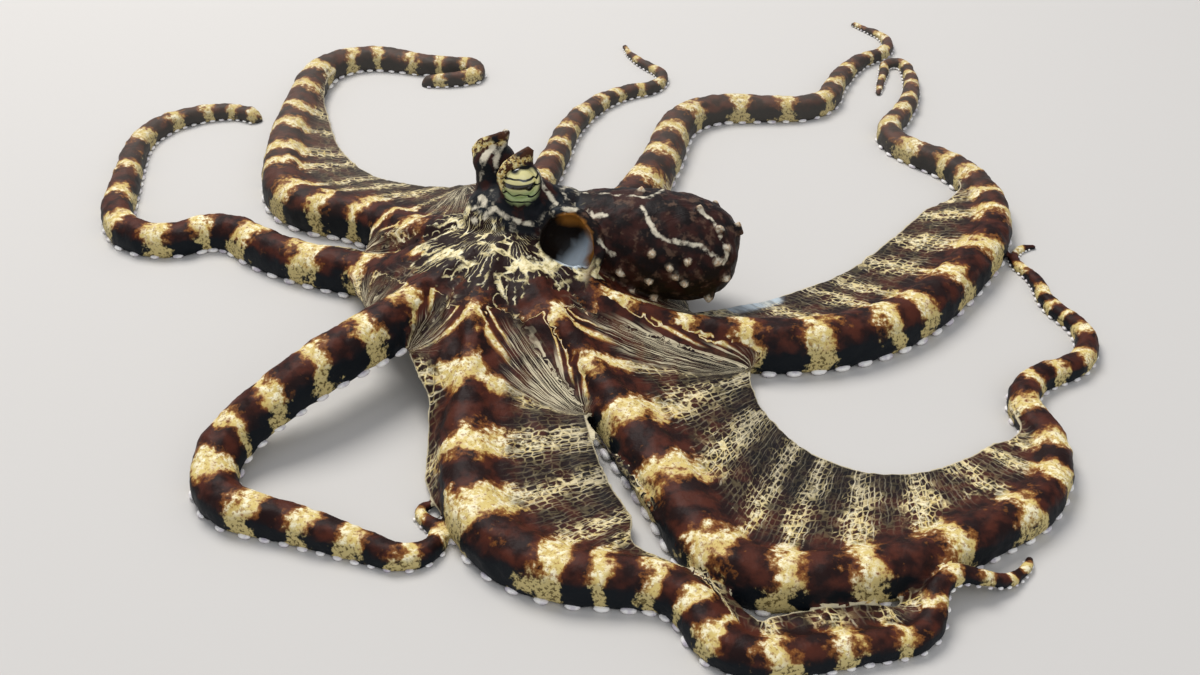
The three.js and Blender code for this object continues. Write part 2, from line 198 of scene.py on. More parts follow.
# ---- courses, arms, webs and fins
@dataclass(frozen=True)
class Course:
    """A line on plan made of circular bends.

    start is a place in mm and heading a bearing in degrees. bends are pairs of a length in mm and a turn in
    degrees, left positive.
    """

    start: Pair
    heading: float
    bends: tuple[Pair, ...]

    @property
    def length(self) -> float:
        """The whole length, in mm."""
        return sum(length for length, _ in self.bends)

    def at(self, s: Number) -> tuple[Array, Array, Array]:
        """Places along the course, or before it on its first bearing.

        Args:
            s: Distances along it, in mm.

        Returns:
            Their x and y, and the bearing there in radians.
        """
        left = np.atleast_1d(np.asarray(s, float)).copy()
        bearing = np.full(left.shape, math.radians(self.heading))
        before = np.minimum(left, 0.0)
        x = self.start[0] + before * np.cos(bearing)
        y = self.start[1] + before * np.sin(bearing)
        for length, turn in self.bends:
            run = np.clip(left, 0.0, length)
            turned = math.radians(turn) * run / length
            chord = run * np.sinc(turned / (2.0 * math.pi))
            x = x + chord * np.cos(bearing + turned / 2.0)
            y = y + chord * np.sin(bearing + turned / 2.0)
            bearing = bearing + turned
            left = left - length
        return x, y, bearing


@dataclass(frozen=True)
class Arm:
    """One arm: its course, its section along it and where its pale bands lie, all in mm.

    The web starts at root. half_width is that of the root and of the tip, and a larger taper keeps it wide
    for longer. rise is how much taller the root is. lift is the height of the underside at the root, and
    between which distances it comes down. tight is the stretch where the web is drawn over the arm's back.
    bands are the middles of the pale bands. hump is a stretch where the arm lifts again, and how far.
    """

    name: str
    course: Course
    root: float
    half_width: Pair
    taper: float
    rise: float
    lift: Triple
    tight: float
    bands: tuple[float, ...]
    hump: Triple = (0.0, 1.0, 0.0)

    NARROWING = 0.9  # power that rounds the taper
    RISE_FADE = 35.0  # mm
    HEIGHT_RATIO = 1.6  # height over half width
    SHOULDER = 0.68  # where a web meets the side, as a share of the height
    LOOSENING = (0.55, 0.6)  # where the web starts to come loose, and over what stretch, as shares of tight

    def size(self, s: Number) -> tuple[Array, Array, Array]:
        """The arm's section.

        Args:
            s: Distances along the arm, in mm.

        Returns:
            The half width, the height and the lift of the underside there, in mm.
        """
        s = np.atleast_1d(np.asarray(s, float))
        share = np.clip(s / self.course.length, 0.0, 1.0)
        root, tip = self.half_width
        half = lerp(tip, root, (1.0 - share**self.taper) ** self.NARROWING)
        height = self.HEIGHT_RATIO * half + self.rise * np.exp(-np.maximum(s, 0.0) / self.RISE_FADE)
        start, hold, end = self.lift
        begin, finish, hump = self.hump
        wave = np.sin(np.pi * np.clip((s - begin) / (finish - begin), 0.0, 1.0)) ** 2
        return half, height, start * (1.0 - smooth((s - hold) / (end - hold))) + hump * wave

    def tightness(self, s: Number) -> Array:
        """1 where the web is drawn tight over the arm, as a tent, falling to 0 where the arm comes free."""
        start, stretch = self.LOOSENING
        return 1.0 - smooth((np.asarray(s, float) - start * self.tight) / (stretch * self.tight))

    def point(self, s: Number, across: Number, z: Number) -> Array:
        """Places at distances along the arm and across it, with left positive, and at heights, all in mm."""
        x, y, bearing = self.course.at(s)
        return np.stack([x - across * np.sin(bearing), y + across * np.cos(bearing), z + 0.0 * x], axis=-1)

    def phase(self, s: Number) -> Array:
        """The band phase, which is a whole number in the middle of each pale band.

        Args:
            s: Distances along the arm, in mm.

        Returns:
            The phase there.
        """
        marks = np.array(self.bands)
        steps = np.arange(len(marks), dtype=float)
        s = np.asarray(s, float)
        inside = np.interp(s, marks, steps)
        first = marks[1] - marks[0]
        last = marks[-1] - marks[-2]
        inside = np.where(s < marks[0], (s - marks[0]) / first, inside)
        return np.where(s > marks[-1], steps[-1] + (s - marks[-1]) / last, inside)


ALL_ARMS = (
    Arm(
        "l1",
        Course((-6, 8), -137, (
            (20, 13), (50, -18), (10, 13), (28, 112), (24, -6), (12, 3), (14, 118), (6, 52),
            (8, -150),
        )),
        root=20, half_width=(6.6, 0.9), taper=2.5, rise=2.5, lift=(11, 50, 98), tight=34,
        bands=(13, 28, 43, 58, 71, 81, 92, 109, 123, 134, 147, 157, 166),
    ),
    Arm(
        "l2",
        Course((-4, 0), -97, (
            (45, 9), (25, 7), (38, 74), (12, 1), (18, -69), (20, 89), (24, -5), (14, 75), (12, -90),
            (20, 78),
        )),
        root=16, half_width=(7.8, 0.9), taper=1.6, rise=2.5, lift=(11, 0, 55), tight=52,
        bands=(6, 18, 35, 58, 78, 103, 111, 123, 134, 143, 155, 171, 183, 195, 204, 212, 218, 224),
        hump=(186, 222, 4),
    ),
    Arm(
        "l3",
        Course((2, 3), -61, (
            (30, 6), (60, -17), (8, 0), (22, 70), (40, 35), (16, -3), (44, 77), (18, -68), (8, -17),
            (30, 99), (14, -35), (12, 33), (18, -117),
        )),
        root=22, half_width=(7.8, 0.9), taper=1.5, rise=2.5, lift=(11, 0, 55), tight=60,
        bands=(
            12, 25, 39, 57, 80, 106, 120, 137, 158, 180, 195, 208, 223, 236, 243, 255, 268, 275, 281, 288,
            302, 314,
        ),
    ),
    Arm(
        "l4",
        Course((14, -1), -29, (
            (22, 19), (34, 9), (50, 49), (34, 10), (44, 46), (20, 34), (10, -11), (18, -66), (14, 4),
            (36, 29), (11, 164), (16, -5), (6, 10),
        )),
        root=14, half_width=(7.6, 0.9), taper=1.6, rise=2.5, lift=(10, -10, 40), tight=54,
        bands=(
            17, 35, 50, 67, 89, 98, 117, 137, 160, 172, 186, 196, 210, 228, 243, 252, 264, 273, 282, 295,
            303,
        ),
    ),
    Arm(
        "r4",
        Course((20, 32), 62, (
            (50, 8), (26, 9), (12, -8), (26, -70), (18, 0), (22, 72), (26, -15), (14, -24), (26, 94),
            (12, -5),
        )),
        root=2, half_width=(6.8, 0.9), taper=1.6, rise=0, lift=(4, 0, 40), tight=20,
        bands=(11, 28, 45, 63, 77, 96, 117, 131, 146, 160, 175, 190, 197, 217, 228),
    ),
    Arm(
        "r3",
        Course((3, 40), 89, (
            (48, -13), (18, 5), (32, -25), (20, -36), (22, 112), (24, -34),
        )),
        root=2, half_width=(5.4, 0.9), taper=1.2, rise=1, lift=(8, -8, 42), tight=32,
        bands=(8, 23, 36, 50, 61, 73, 88, 100, 107, 117, 126, 138, 150, 159),
    ),
    Arm(
        "r2",
        Course((-13, 14), 131, (
            (30, -12), (30, 48), (26, -63), (16, -8), (30, -6), (26, -2), (10, -10), (28, -87),
            (10, -10), (20, 25), (13, -168), (16, -20),
        )),
        root=26, half_width=(7, 2.2), taper=2.2, rise=2, lift=(9, 0, 48), tight=40,
        bands=(8, 24, 36, 49, 62, 75, 93, 102, 120, 134, 150, 166, 185, 194, 208, 218, 226, 238, 248),
    ),
    Arm(
        "r1",
        Course((-6, 9), 166, (
            (30, -13), (20, 6), (30, -24), (16, 76), (26, -90), (16, -25), (26, 2), (12, -9),
            (36, -81), (14, -54),
        )),
        root=28, half_width=(6.6, 2.6), taper=1.2, rise=2, lift=(10, 0, 42), tight=40,
        bands=(17, 34, 54, 75, 95, 105, 122, 138, 156, 178, 195, 208, 216),
    ),
)
ARMS: dict[str, Arm] = {arm.name: arm for arm in ALL_ARMS}


@dataclass(frozen=True)
class Web:
    """The skin between two neighbouring arms, as far as the notch where it ends, in mm."""

    first: str
    second: str
    notch: Pair  # its place on plan
    height: float  # of the notch
    level: Pair  # how far along each arm it lies


@dataclass(frozen=True)
class Fin:
    """Web that runs on along one side of an arm, with a free edge or a reach from the arm's side.

    side is 1 on the arm's left and -1 on its right. stretch is its run along the arm, and height that of its
    outer line at both ends. reach is given at even steps. All are in mm.
    """

    arm: str
    side: int
    stretch: Pair
    height: Pair
    edge: Course | None = None
    reach: tuple[float, ...] = ()
    closing: float = 0.68  # the share of the stretch where a free edge turns in to the arm


WEBS = (
    Web("r1", "l1", (-36, 0), 8, (38, 34)),
    Web("l1", "l2", (-22, -24), 12, (34, 27)),
    Web("l2", "l3", (22, -43), 7, (45, 51)),
    Web("l3", "l4", (63, -21), 4, (50, 54)),
    Web("l4", "r4", (50, 8), 2, (42, 12)),
    Web("r4", "r3", (21, 60), 5, (28, 30)),
    Web("r3", "r2", (-14, 68), 8, (34, 40)),
    Web("r2", "r1", (-41, 33), 6, (38, 41)),
)
FINS = (
    Fin("l2", 1, (45, 128), (7, 4), Course((22, -43), -80, ((22, 10), (26, 22)))),
    Fin("l2", -1, (27, 72), (12, 2), reach=(9, 2.4, 2.4, 3.4, 0.6)),
    Fin("l2", 1, (138, 214), (5, 2.5), reach=(0.6, 3.5, 6.5, 7.5, 7.5, 6, 3, 0.6)),
    Fin(
        "l3",
        1,
        (50, 224),
        (4, 3),
        Course((63, -21), -92, ((11, 14), (22, 31), (23, 50), (13, 25), (14, 12), (12, 30))),
        closing=0.86,
    ),
    Fin(
        "l4", 1, (42, 184), (2, 3), Course((50, 8), 12, ((22, 8), (38, 30), (38, 4), (10, 18))), closing=0.86
    ),
    Fin("r4", -1, (12, 56), (2, 3), reach=(17, 7, 2.5, 0.6)),
    Fin("r2", -1, (40, 172), (8, 3), Course((-14, 68), 195, ((16, -40), (24, -28), (30, -20), (46, -10)))),
    Fin("r1", -1, (41, 84), (6, 4), reach=(5, 3.5, 2, 0.6)),
)


# ---- surfaces that the skin follows
@dataclass
class Source:
    """An open surface of one arm whose points carry the values that the skin's markings follow.

    number is that of the arm. For each point, values holds fan and across, its distances along the arm, drawn
    in to the notch, and across it; the band phase; its shares of web and crown; and its distance from a free
    edge.
    """

    number: int
    points: Array
    faces: list[tuple[int, ...]]
    values: Array


ARM_SPACING = 400.0  # keeps the marks of one arm apart from the next arm's, in mm


@dataclass(frozen=True)
class ArmTube:
    """The rounded body of an arm, from inside the crown to its tip, with its sizes in mm."""

    arm: Arm
    number: int
    step: float = 1.3  # from ring to ring
    start: float = 6.0  # the first ring's distance along the arm
    narrowing: float = 0.4  # how much narrower the arm is under tight web, as a share
    dive: float = 3.5  # how far the root dips under the crown
    dive_end: float = 6.0  # how far past the root it has come up again
    tip_length: float = 1.3  # of the rounded tip, over its half width
    tip_depth: float = 0.94  # how nearly the tip closes

    widest: float = 0.35  # where the arm is widest, as a share of its height
    curve: Pair = (2.4, 0.476)  # powers of its back, between a round and a square one
    low: tuple = ((0.985, 0.2), (0.93, 0.08), (0.82, 0.0), (0.4, 0.0))  # the section from there to the floor

    def section(self) -> Array:
        """The outline of a section.

        Returns:
            Its points as shares of half width and height, the crest first and then leftwards.
        """
        u = np.sin(np.linspace(0.0, math.pi / 2, 8))
        inner, outer = self.curve
        top = np.stack([u, self.widest + (1.0 - self.widest) * (1.0 - u**inner) ** outer], axis=1)
        left = np.concatenate([top, self.low])
        right = left[1:][::-1] * np.array([-1.0, 1.0])
        return np.concatenate([left, [[0.0, 0.0]], right])

    def rows(self) -> Array:
        """Where the rings stand, closer together at the tip.

        Returns:
            Distances along the arm.
        """
        length = self.arm.course.length
        rows = np.linspace(self.start, length - 2.0, int((length - self.start) / self.step))
        return np.concatenate([rows, length - np.array([1.5, 1.0, 0.6, 0.3, 0.1, 0.0])])

    def grid(self) -> tuple[Array, Array, Array]:
        """The surface.

        Returns:
            Its points, ring by ring, with their distances along the arm and across it.
        """
        section = self.section()
        rows = self.rows()
        half, height, lift = self.arm.size(rows)
        half = half * (1.0 - self.narrowing * self.arm.tightness(rows))
        past = np.clip(1.0 - (self.arm.course.length - rows) / (self.tip_length * half[-1]), 0.0, 1.0)
        half, height = (value * np.sqrt(1.0 - self.tip_depth * past**2) for value in (half, height))
        lift = lift - self.dive * (1.0 - smooth(rows / (self.arm.root + self.dive_end)))
        s = np.repeat(rows, len(section))
        u = np.tile(section[:, 0], len(rows))
        v = np.tile(section[:, 1], len(rows))
        half, height, lift = (np.repeat(value, len(section)) for value in (half, height, lift))
        points = self.arm.point(s, u * half, lift + v * height)
        steps = np.linalg.norm(np.diff(section * np.array([1.0, Arm.HEIGHT_RATIO]), axis=0), axis=1)
        around = np.concatenate([[0.0], np.cumsum(steps)])
        around = np.where(section[:, 0] < 0, around - around[-1] - steps[0], around)
        return points, s, np.tile(around, len(rows)) * half

    def clay(self) -> Object:
        """The tube with its ends closed.

        Returns:
            The closed tube.
        """
        points, _, _ = self.grid()
        columns = len(self.section())
        rows = len(points) // columns
        ends = np.stack([points[:columns].mean(0), points[-columns:].mean(0)])
        faces = grid_faces(rows, columns, closed=True)
        last = (rows - 1) * columns
        for i in range(columns):
            j = (i + 1) % columns
            faces.append((len(points), j, i))
            faces.append((len(points) + 1, last + i, last + j))
        piece = mesh_piece(f"clay_arm_{self.arm.name}", np.concatenate([points, ends]), faces)
        face_outwards(piece)
        return piece

    def source(self) -> Source:
        """The tube's surface with its marks.

        Returns:
            The surface.
        """
        points, s, across = self.grid()
        columns = len(self.section())
        fan = s + ARM_SPACING * self.number
        edge = np.full(s.shape, Sheet.NO_EDGE)
        values = np.stack([fan, across, self.arm.phase(s), 0 * s, 0 * s, edge], axis=1)
        return Source(self.number, points, grid_faces(len(points) // columns, columns, closed=True), values)


@dataclass
class Sheet:
    """Half of a web, or a fin: rows of points from an arm's back out to a free edge or a valley.

    Near the crown the skin is drawn tight from the arms' backs, as a tent; further out it hangs from their
    shoulders. number is that of the arm, and side is 1 on its left and -1 on its right. s is the distance of
    each row along the arm, and outer its outer end. The rows start to part level with notch. All are in mm.
    """

    arm: Arm
    number: int
    side: int
    s: Array
    outer: Array
    notch: float
    points: Array = field(init=False)
    half: Array = field(init=False)

    THICKNESS = 1.5
    CROWN_THICKNESS = 7.0
    THINNING = (30.0, 26.0)  # how far before the notch flesh starts to thin, and over what distance
    INSIDE = (0.25, 0.5, 0.75)  # places of the columns on the arm's back, as shares of its half width
    OUTSIDE = np.linspace(0.0, 1.0, 13)  # and beyond it, as shares of the way out
    CREST = 0.985  # height of the tight skin over the arm's middle, as a share of the arm's height
    BACK = (0.97, 0.29)  # height of loose skin over the arm's middle, and its fall to the shoulder
    HANG = 1.5  # power of the loose skin's curve
    TENT = 1.1  # power of the tight skin's curve
    ROUNDING = (6.0, 1.3, 0.9)  # of the tight skin's crest: its reach, power and depth
    FLOOR = 0.35  # lowest height of the underside
    DRAWN = 0.5  # least share of tight skin
    NO_EDGE = 9.0  # stands for the distance from a free edge where there is none, and doubles in drawn skin

    def __post_init__(self) -> None:
        """Sets out the points of the upper surface."""
        arm, side, s, outer = self.arm, self.side, self.s, self.outer
        half, height, lift = arm.size(s)
        inner = arm.point(s, side * half, lift + arm.SHOULDER * height)
        crest = lift + self.CREST * height
        run = np.linalg.norm((outer - inner)[:, :2], axis=1)
        tight = np.maximum(arm.tightness(s), self.DRAWN)
        columns = []
        for share in self.INSIDE:
            column = arm.point(s, side * half * share, 0.0)
            hang = lift + height * (self.BACK[0] - self.BACK[1] * share**2)
            column[:, 2] = lerp(hang, self.tent(crest, outer[:, 2], half * share, half + run), tight)
            columns.append(column)
        for share in self.OUTSIDE:
            column = lerp(inner, outer, share)
            hang = lerp(outer[:, 2], inner[:, 2], (1.0 - share) ** self.HANG)
            column[:, 2] = lerp(hang, self.tent(crest, outer[:, 2], half + run * share, half + run), tight)
            columns.append(column)
        self.points = np.stack(columns, axis=1)
        self.half = half

    def tent(self, crest: Array, edge: Array, across: Array, whole: Array) -> Array:
        """The height of the tight skin.

        Args:
            crest: Its height over the arm's middle.
            edge: Its height at the outer end.
            across: The distance from the arm's middle.
            whole: That of the outer end.

        Returns:
            The height of each row.
        """
        reach, power, depth = self.ROUNDING
        share = across / np.maximum(whole, 0.1)
        rounding = np.minimum(across / reach, 1.0) ** power * depth
        return edge + (crest - rounding - edge) * (1.0 - share) ** self.TENT

    def thickness(self) -> Array:
        """Thick flesh at the crown, thin web further out."""
        thin = smooth((self.s - self.notch + self.THINNING[0]) / self.THINNING[1])
        return lerp(self.THICKNESS, self.CROWN_THICKNESS, 1.0 - thin)

    def source(self) -> Source:
        """The sheet's upper surface with its marks: streaks fan into the notch.

        Returns:
            The surface.
        """
        rows, columns, _ = self.points.shape
        steps = np.linalg.norm(np.diff(self.points, axis=1), axis=2)
        start = self.half[:, None] * self.INSIDE[0]
        across = np.concatenate([start, start + np.cumsum(steps, axis=1)], axis=1)
        whole = across[:, -1:]
        share = across / np.maximum(whole, 0.1)
        s = np.repeat(self.s[:, None], columns, axis=1)
        short = np.maximum(self.notch - s, 0.0)
        left = np.maximum(1.0 - share, 0.04)  # of the way to the valley, and never quite none
        notch_row = int(np.argmin(np.abs(self.s - self.notch)))
        depth = float(whole[notch_row, 0])
        hit = np.where(short > 0, np.maximum(self.notch - short / left, -30.0), s)
        fan = np.where(short > 0, self.notch - depth * np.arctan(short / (depth * left)), s)
        half = self.half[:, None]
        # Web takes over from the arm's own markings on the shoulder, and fully by the edge or valley.
        web = smooth((across - 0.6 * half) / np.minimum(1.9 * half, np.maximum(whole - 0.7 * half, 2.0)))
        # Bands fade where the fan draws them in by more than 2 mm, but not at the crown.
        drawn = smooth((s - hit - 2.0) / 7.0) * smooth((s - self.s[0]) / 8.0)
        edge = np.where(short > 0, self.NO_EDGE * (1.0 + drawn), np.minimum(whole - across, self.NO_EDGE))
        fan = fan + ARM_SPACING * self.number
        values = np.stack([fan, self.side * across, self.arm.phase(hit), web, 0 * s, edge], axis=2)
        faces = grid_faces(rows, columns)
        return Source(self.number, self.points.reshape(-1, 3), faces, values.reshape(-1, 6))


LEAST_UPWARD = 0.4  # share of the way down in a sheet's thickness, so that steep skin keeps an underside
LEAST_THICKNESS = 0.8  # mm, where the floor comes near


def sheet_clay(name: str, top: Array, thickness: Array) -> Object:
    """A closed sheet under a grid of points.

    Args:
        name: The object's name.
        top: Rows of points of the upper surface.
        thickness: Of the sheet at each row, in mm.

    Returns:
        The sheet.
    """
    rows, columns, _ = top.shape
    normal = np.cross(np.gradient(top, axis=0), np.gradient(top, axis=1))
    normal /= np.maximum(np.linalg.norm(normal, axis=2, keepdims=True), 1e-9)
    normal *= np.where(normal[..., 2:] < 0, -1.0, 1.0)
    normal[..., 2] = np.maximum(normal[..., 2], LEAST_UPWARD)
    thin = thickness.min()
    under = top - normal * thin
    under[..., 2] -= (thickness - thin)[:, None]
    under[..., 2] = np.minimum(np.maximum(under[..., 2], Sheet.FLOOR), top[..., 2] - LEAST_THICKNESS)
    count = rows * columns
    faces = grid_faces(rows, columns) + [face[::-1] for face in grid_faces(rows, columns, first=count)]
    number = np.arange(count).reshape(rows, columns)
    ring = np.concatenate([number[0], number[1:, -1], number[-1, -2::-1], number[-2:0:-1, 0]]).tolist()
    for a, b in zip(ring, ring[1:] + ring[:1]):
        faces.append((b, a, a + count, b + count))
    piece = mesh_piece(name, np.concatenate([top.reshape(-1, 3), under.reshape(-1, 3)]), faces)
    face_outwards(piece)
    return piece


@dataclass
class WebPiece:
    """A web between two arms, from the rim of the crown to its notch."""

    web: Web
    rows: int = 34
    valley_pull: float = 1.6  # power that steepens the valley at the rim
    halves: tuple[Sheet, Sheet] = field(init=False)

    def __post_init__(self) -> None:
        """Sets out the two halves of the web."""
        web, names = self.web, list(ARMS)
        first, second = ARMS[web.first], ARMS[web.second]
        root_a, root_b = first.root, second.root
        rim = (self.shoulder(first, root_a, 1) + self.shoulder(second, root_b, -1)) / 2
        notch = np.array([*web.notch, web.height], float)
        share = np.linspace(0.0, 1.0, self.rows)[:, None]
        valley = lerp(rim, notch, 1.0 - (1.0 - share) ** self.valley_pull)
        s_a = lerp(root_a, web.level[0], share[:, 0])
        s_b = lerp(root_b, web.level[1], share[:, 0])
        self.halves = (
            Sheet(first, names.index(web.first), 1, s_a, valley, web.level[0]),
            Sheet(second, names.index(web.second), -1, s_b, valley, web.level[1]),
        )

    @staticmethod
    def shoulder(arm: Arm, s: float, side: int) -> Array:
        """The point where the web meets the side of an arm."""
        half, height, lift = arm.size(s)
        return arm.point(s, side * half, lift + arm.SHOULDER * height)[0]

    def clay(self) -> Object:
        """Both halves as one closed sheet.

        Returns:
            The sheet.
        """
        left, right = self.halves
        top = np.concatenate([left.points, right.points[:, ::-1][:, 1:]], axis=1)
        name = f"clay_web_{self.web.first}_{self.web.second}"
        return sheet_clay(name, top, np.minimum(left.thickness(), right.thickness()))


@dataclass
class FinPiece:
    """A fin along one side of an arm, which goes on from a notch, with its sizes in mm."""

    fin: Fin
    step: float = 1.6  # from row to row
    least: float = 0.6  # reach where a free edge has closed on the arm
    tuck: float = 0.4  # how far below the shoulder it closes
    leaving: float = 12.0  # over what distance the outer line leaves the notch
    fall: Pair = (1.5, 2.0)  # how fast a reach and a free edge come down
    sheet: Sheet = field(init=False)

    def __post_init__(self) -> None:
        """Sets out the fin's sheet."""
        fin, arm = self.fin, ARMS[self.fin.arm]
        begin, end = fin.stretch
        share = np.linspace(0.0, 1.0, int((end - begin) / self.step))
        s = lerp(begin, end, share)
        half, height, lift = arm.size(s)
        if fin.reach:
            reach = np.interp(share * (len(fin.reach) - 1), np.arange(len(fin.reach)), fin.reach)
            z = lerp(fin.height[0], fin.height[1], smooth(share * self.fall[0]))
            outer = arm.point(s, fin.side * (half + reach), z)
        else:
            x, y, _ = fin.edge.at(fin.edge.length * share)
            z = lerp(fin.height[0], fin.height[1], smooth(share * self.fall[1]))
            rest = arm.point(s, fin.side * (half + self.least), lift + arm.SHOULDER * height - self.tuck)
            closing = smooth((share - fin.closing) / (1 - fin.closing))[:, None]
            outer = lerp(np.stack([x, y, z], axis=1), rest, closing)
        web = next(web for web in WEBS if fin.arm == (web.first if fin.side > 0 else web.second))
        notch = np.array([*web.notch, web.height], float)
        outer = lerp(notch, outer, smooth((s - begin) / self.leaving)[:, None])
        self.sheet = Sheet(arm, list(ARMS).index(fin.arm), fin.side, s, outer, begin)

    def clay(self) -> Object:
        """The fin as a closed sheet."""
        name = f"clay_fin_{self.fin.arm}_{'left' if self.fin.side > 0 else 'right'}"
        return sheet_clay(name, self.sheet.points, self.sheet.thickness())


@dataclass
class CrownPiece:
    """The top of the crown: a dome drawn from its middle out to the arms' backs and the webs between them.

    The webs stand in their order round it. Sizes are in mm.
    """

    webs: list[WebPiece]
    middle: Triple = (1.0, 12.0, 27.2)
    underside: float = 9.0
    ring_count: int = 16
    start: float = 0.06  # where the first ring lies, as a share of the way out
    fall: float = 1.4  # power of the dome's curve
    rim: Array = field(init=False)
    owner: Array = field(init=False)  # the arm, its side and the distance along it of each place on the rim
    side: Array = field(init=False)
    s: Array = field(init=False)

    def __post_init__(self) -> None:
        """Takes the rim from the first row of each web."""
        rim, owner, side, s = [], [], [], []
        for web in self.webs:
            for sheet in web.halves:
                row = sheet.points[0] if sheet.side > 0 else sheet.points[0][::-1]
                rim.append(row)
                owner += [sheet.number] * len(row)
                side += [sheet.side] * len(row)
                s += [sheet.s[0]] * len(row)
        self.rim = np.concatenate(rim)
        self.owner, self.side, self.s = np.array(owner), np.array(side), np.array(s)

    @property
    def shares(self) -> Array:
        """How far out each ring lies."""
        return np.linspace(self.start, 1.0, self.ring_count)

    def rings(self) -> Array:
        """The dome's surface.

        Returns:
            Rings of points from near the middle out to the rim.
        """
        rings = []
        for share in self.shares:
            ring = lerp(np.array(self.middle), self.rim, share)
            ring[:, 2] = lerp(self.middle[2], self.rim[:, 2], share**self.fall)
            rings.append(ring)
        return np.stack(rings)

    def clay(self) -> Object:
        """The dome with a flat underside.

        Returns:
            The closed dome.
        """
        rings = self.rings()
        count = rings.shape[1]
        under = rings[-1].copy()
        under[:, 2] = self.underside
        middles = [self.middle, (*self.middle[:2], self.underside)]
        points = np.concatenate([rings.reshape(-1, 3), under, middles])
        faces = grid_faces(self.ring_count + 1, count, closed=True)
        low, top = self.ring_count * count, (self.ring_count + 1) * count
        for i in range(count):
            j = (i + 1) % count
            faces.append((top, j, i))
            faces.append((top + 1, low + i, low + j))
        piece = mesh_piece("clay_crown", points, faces)
        face_outwards(piece)
        return piece

    def sources(self) -> list[Source]:
        """The dome's surface with its marks.

        Returns:
            One surface for each arm.
        """
        rings = self.rings()
        shares = self.shares[:, None]
        found = []
        for number, arm in enumerate(ARMS.values()):
            mine = np.flatnonzero(self.owner == number)
            order = np.concatenate([mine[self.side[mine] < 0], mine[self.side[mine] > 0]])
            grid = rings[:, order]
            s = shares * self.s[order][None, :]
            back = arm.point(self.s[order][:1], 0.0, 0.0)[:, :2]
            crest = grid[:, np.argmin(np.linalg.norm(self.rim[order][:, :2] - back, axis=1))]
            across = np.linalg.norm(grid - crest[:, None], axis=2) * self.side[order][None, :]
            fan = s + ARM_SPACING * number
            # The arms' bands run in over the dome, and give way to the crown's own patches 3 to 19 mm out.
            web = smooth((np.abs(across) - 4.0) / 7.0) * shares**2
            crown = 1.0 - smooth((s - 3.0) / 16.0)
            edge = np.full(s.shape, Sheet.NO_EDGE)
            values = np.stack([fan, across, arm.phase(s), web, crown, edge], axis=2)
            faces = grid_faces(self.ring_count, len(order))
            found.append(Source(number, grid.reshape(-1, 3), faces, values.reshape(-1, 6)))
        return found


# ---- head, mantle and eyes
@dataclass(frozen=True)
class Eye:
    """An eye on its turret, in mm from the crown."""

    name: str
    centre: Triple
    foot: Triple  # of the turret
    horn: Triple  # its tip
    gaze: Triple  # the direction that it looks to
    radius: float = 4.8

    def beside(self, step: Triple) -> Array:
        """The place a step from the eye's middle, with the step mirrored for the right eye."""
        mirror = 1.0 if self.name == "left" else -1.0
        return np.array(self.centre, float) + np.array([step[0], step[1] * mirror, step[2]])


EYES = (
    Eye("left", (4.6, 15.5, 38), (6.3, 17.5, 27), (7.5, 17, 46.5), (-0.05, -0.93, 0.36)),
    Eye("right", (-2.8, 27, 38), (-1, 25, 28), (1, 28, 46.5), (-0.45, 0.83, 0.33)),
)


@dataclass(frozen=True)
class Mantle:
    """The egg-shaped mantle, from its neck to its rounded end, in mm."""

    front: Triple = (11, 18, 23)
    back: Triple = (62, 12, 17.5)
    neck: float = 9.0
    radius: float = 15.0
    widest: float = 0.6  # where it is widest, as a share of the way to the end
    bluntness: float = 2.6
    squash: float = 0.93  # height over width
    end: float = 0.995  # where it is closed, as a share of the way to the end

    @property
    def axis(self) -> tuple[Array, Array]:
        """The middle of the neck, and the way from there to the end."""
        front = np.array(self.front, float)
        return front, np.array(self.back, float) - front

    def outward(self, place: Array, furthest: float = 0.97) -> Array:
        """The direction out of the mantle.

        Args:
            place: A place on its surface.
            furthest: How far along the axis a direction may start, as a share.

        Returns:
            The unit vector.
        """
        front, axis = self.axis
        share = np.clip((place - front) @ axis / (axis @ axis), 0.0, furthest)
        out = place - (front + share * axis)
        return out / np.linalg.norm(out)

    def radius_at(self, share: float) -> float:
        """The radius of the egg.

        Args:
            share: How far along the axis.

        Returns:
            The radius there.
        """
        if share < self.widest:
            return lerp(self.neck, self.radius, math.sin(share / self.widest * math.pi / 2))
        past = (share - self.widest) / (1 - self.widest)
        return self.radius * (1 - past**self.bluntness) ** (1 / self.bluntness)


def ball(name: str, centre: Sequence[float], radii: Sequence[float], segments: int = 40) -> Object:
    """A rounded lump added as a primitive at its size and place.

    Args:
        name: The object's name.
        centre: Its middle, in mm from the crown.
        radii: Its three half lengths, in mm.
        segments: Faces round it.

    Returns:
        The lump.
    """
    bpy.ops.object.select_all(action="DESELECT")
    bpy.ops.mesh.primitive_uv_sphere_add(
        segments=segments, ring_count=segments // 2, radius=1.0, location=to_metres(centre)
    )
    piece = bpy.context.object
    piece.name = piece.data.name = name
    piece.scale = [radius * MM for radius in radii]
    settle(piece)
    return piece


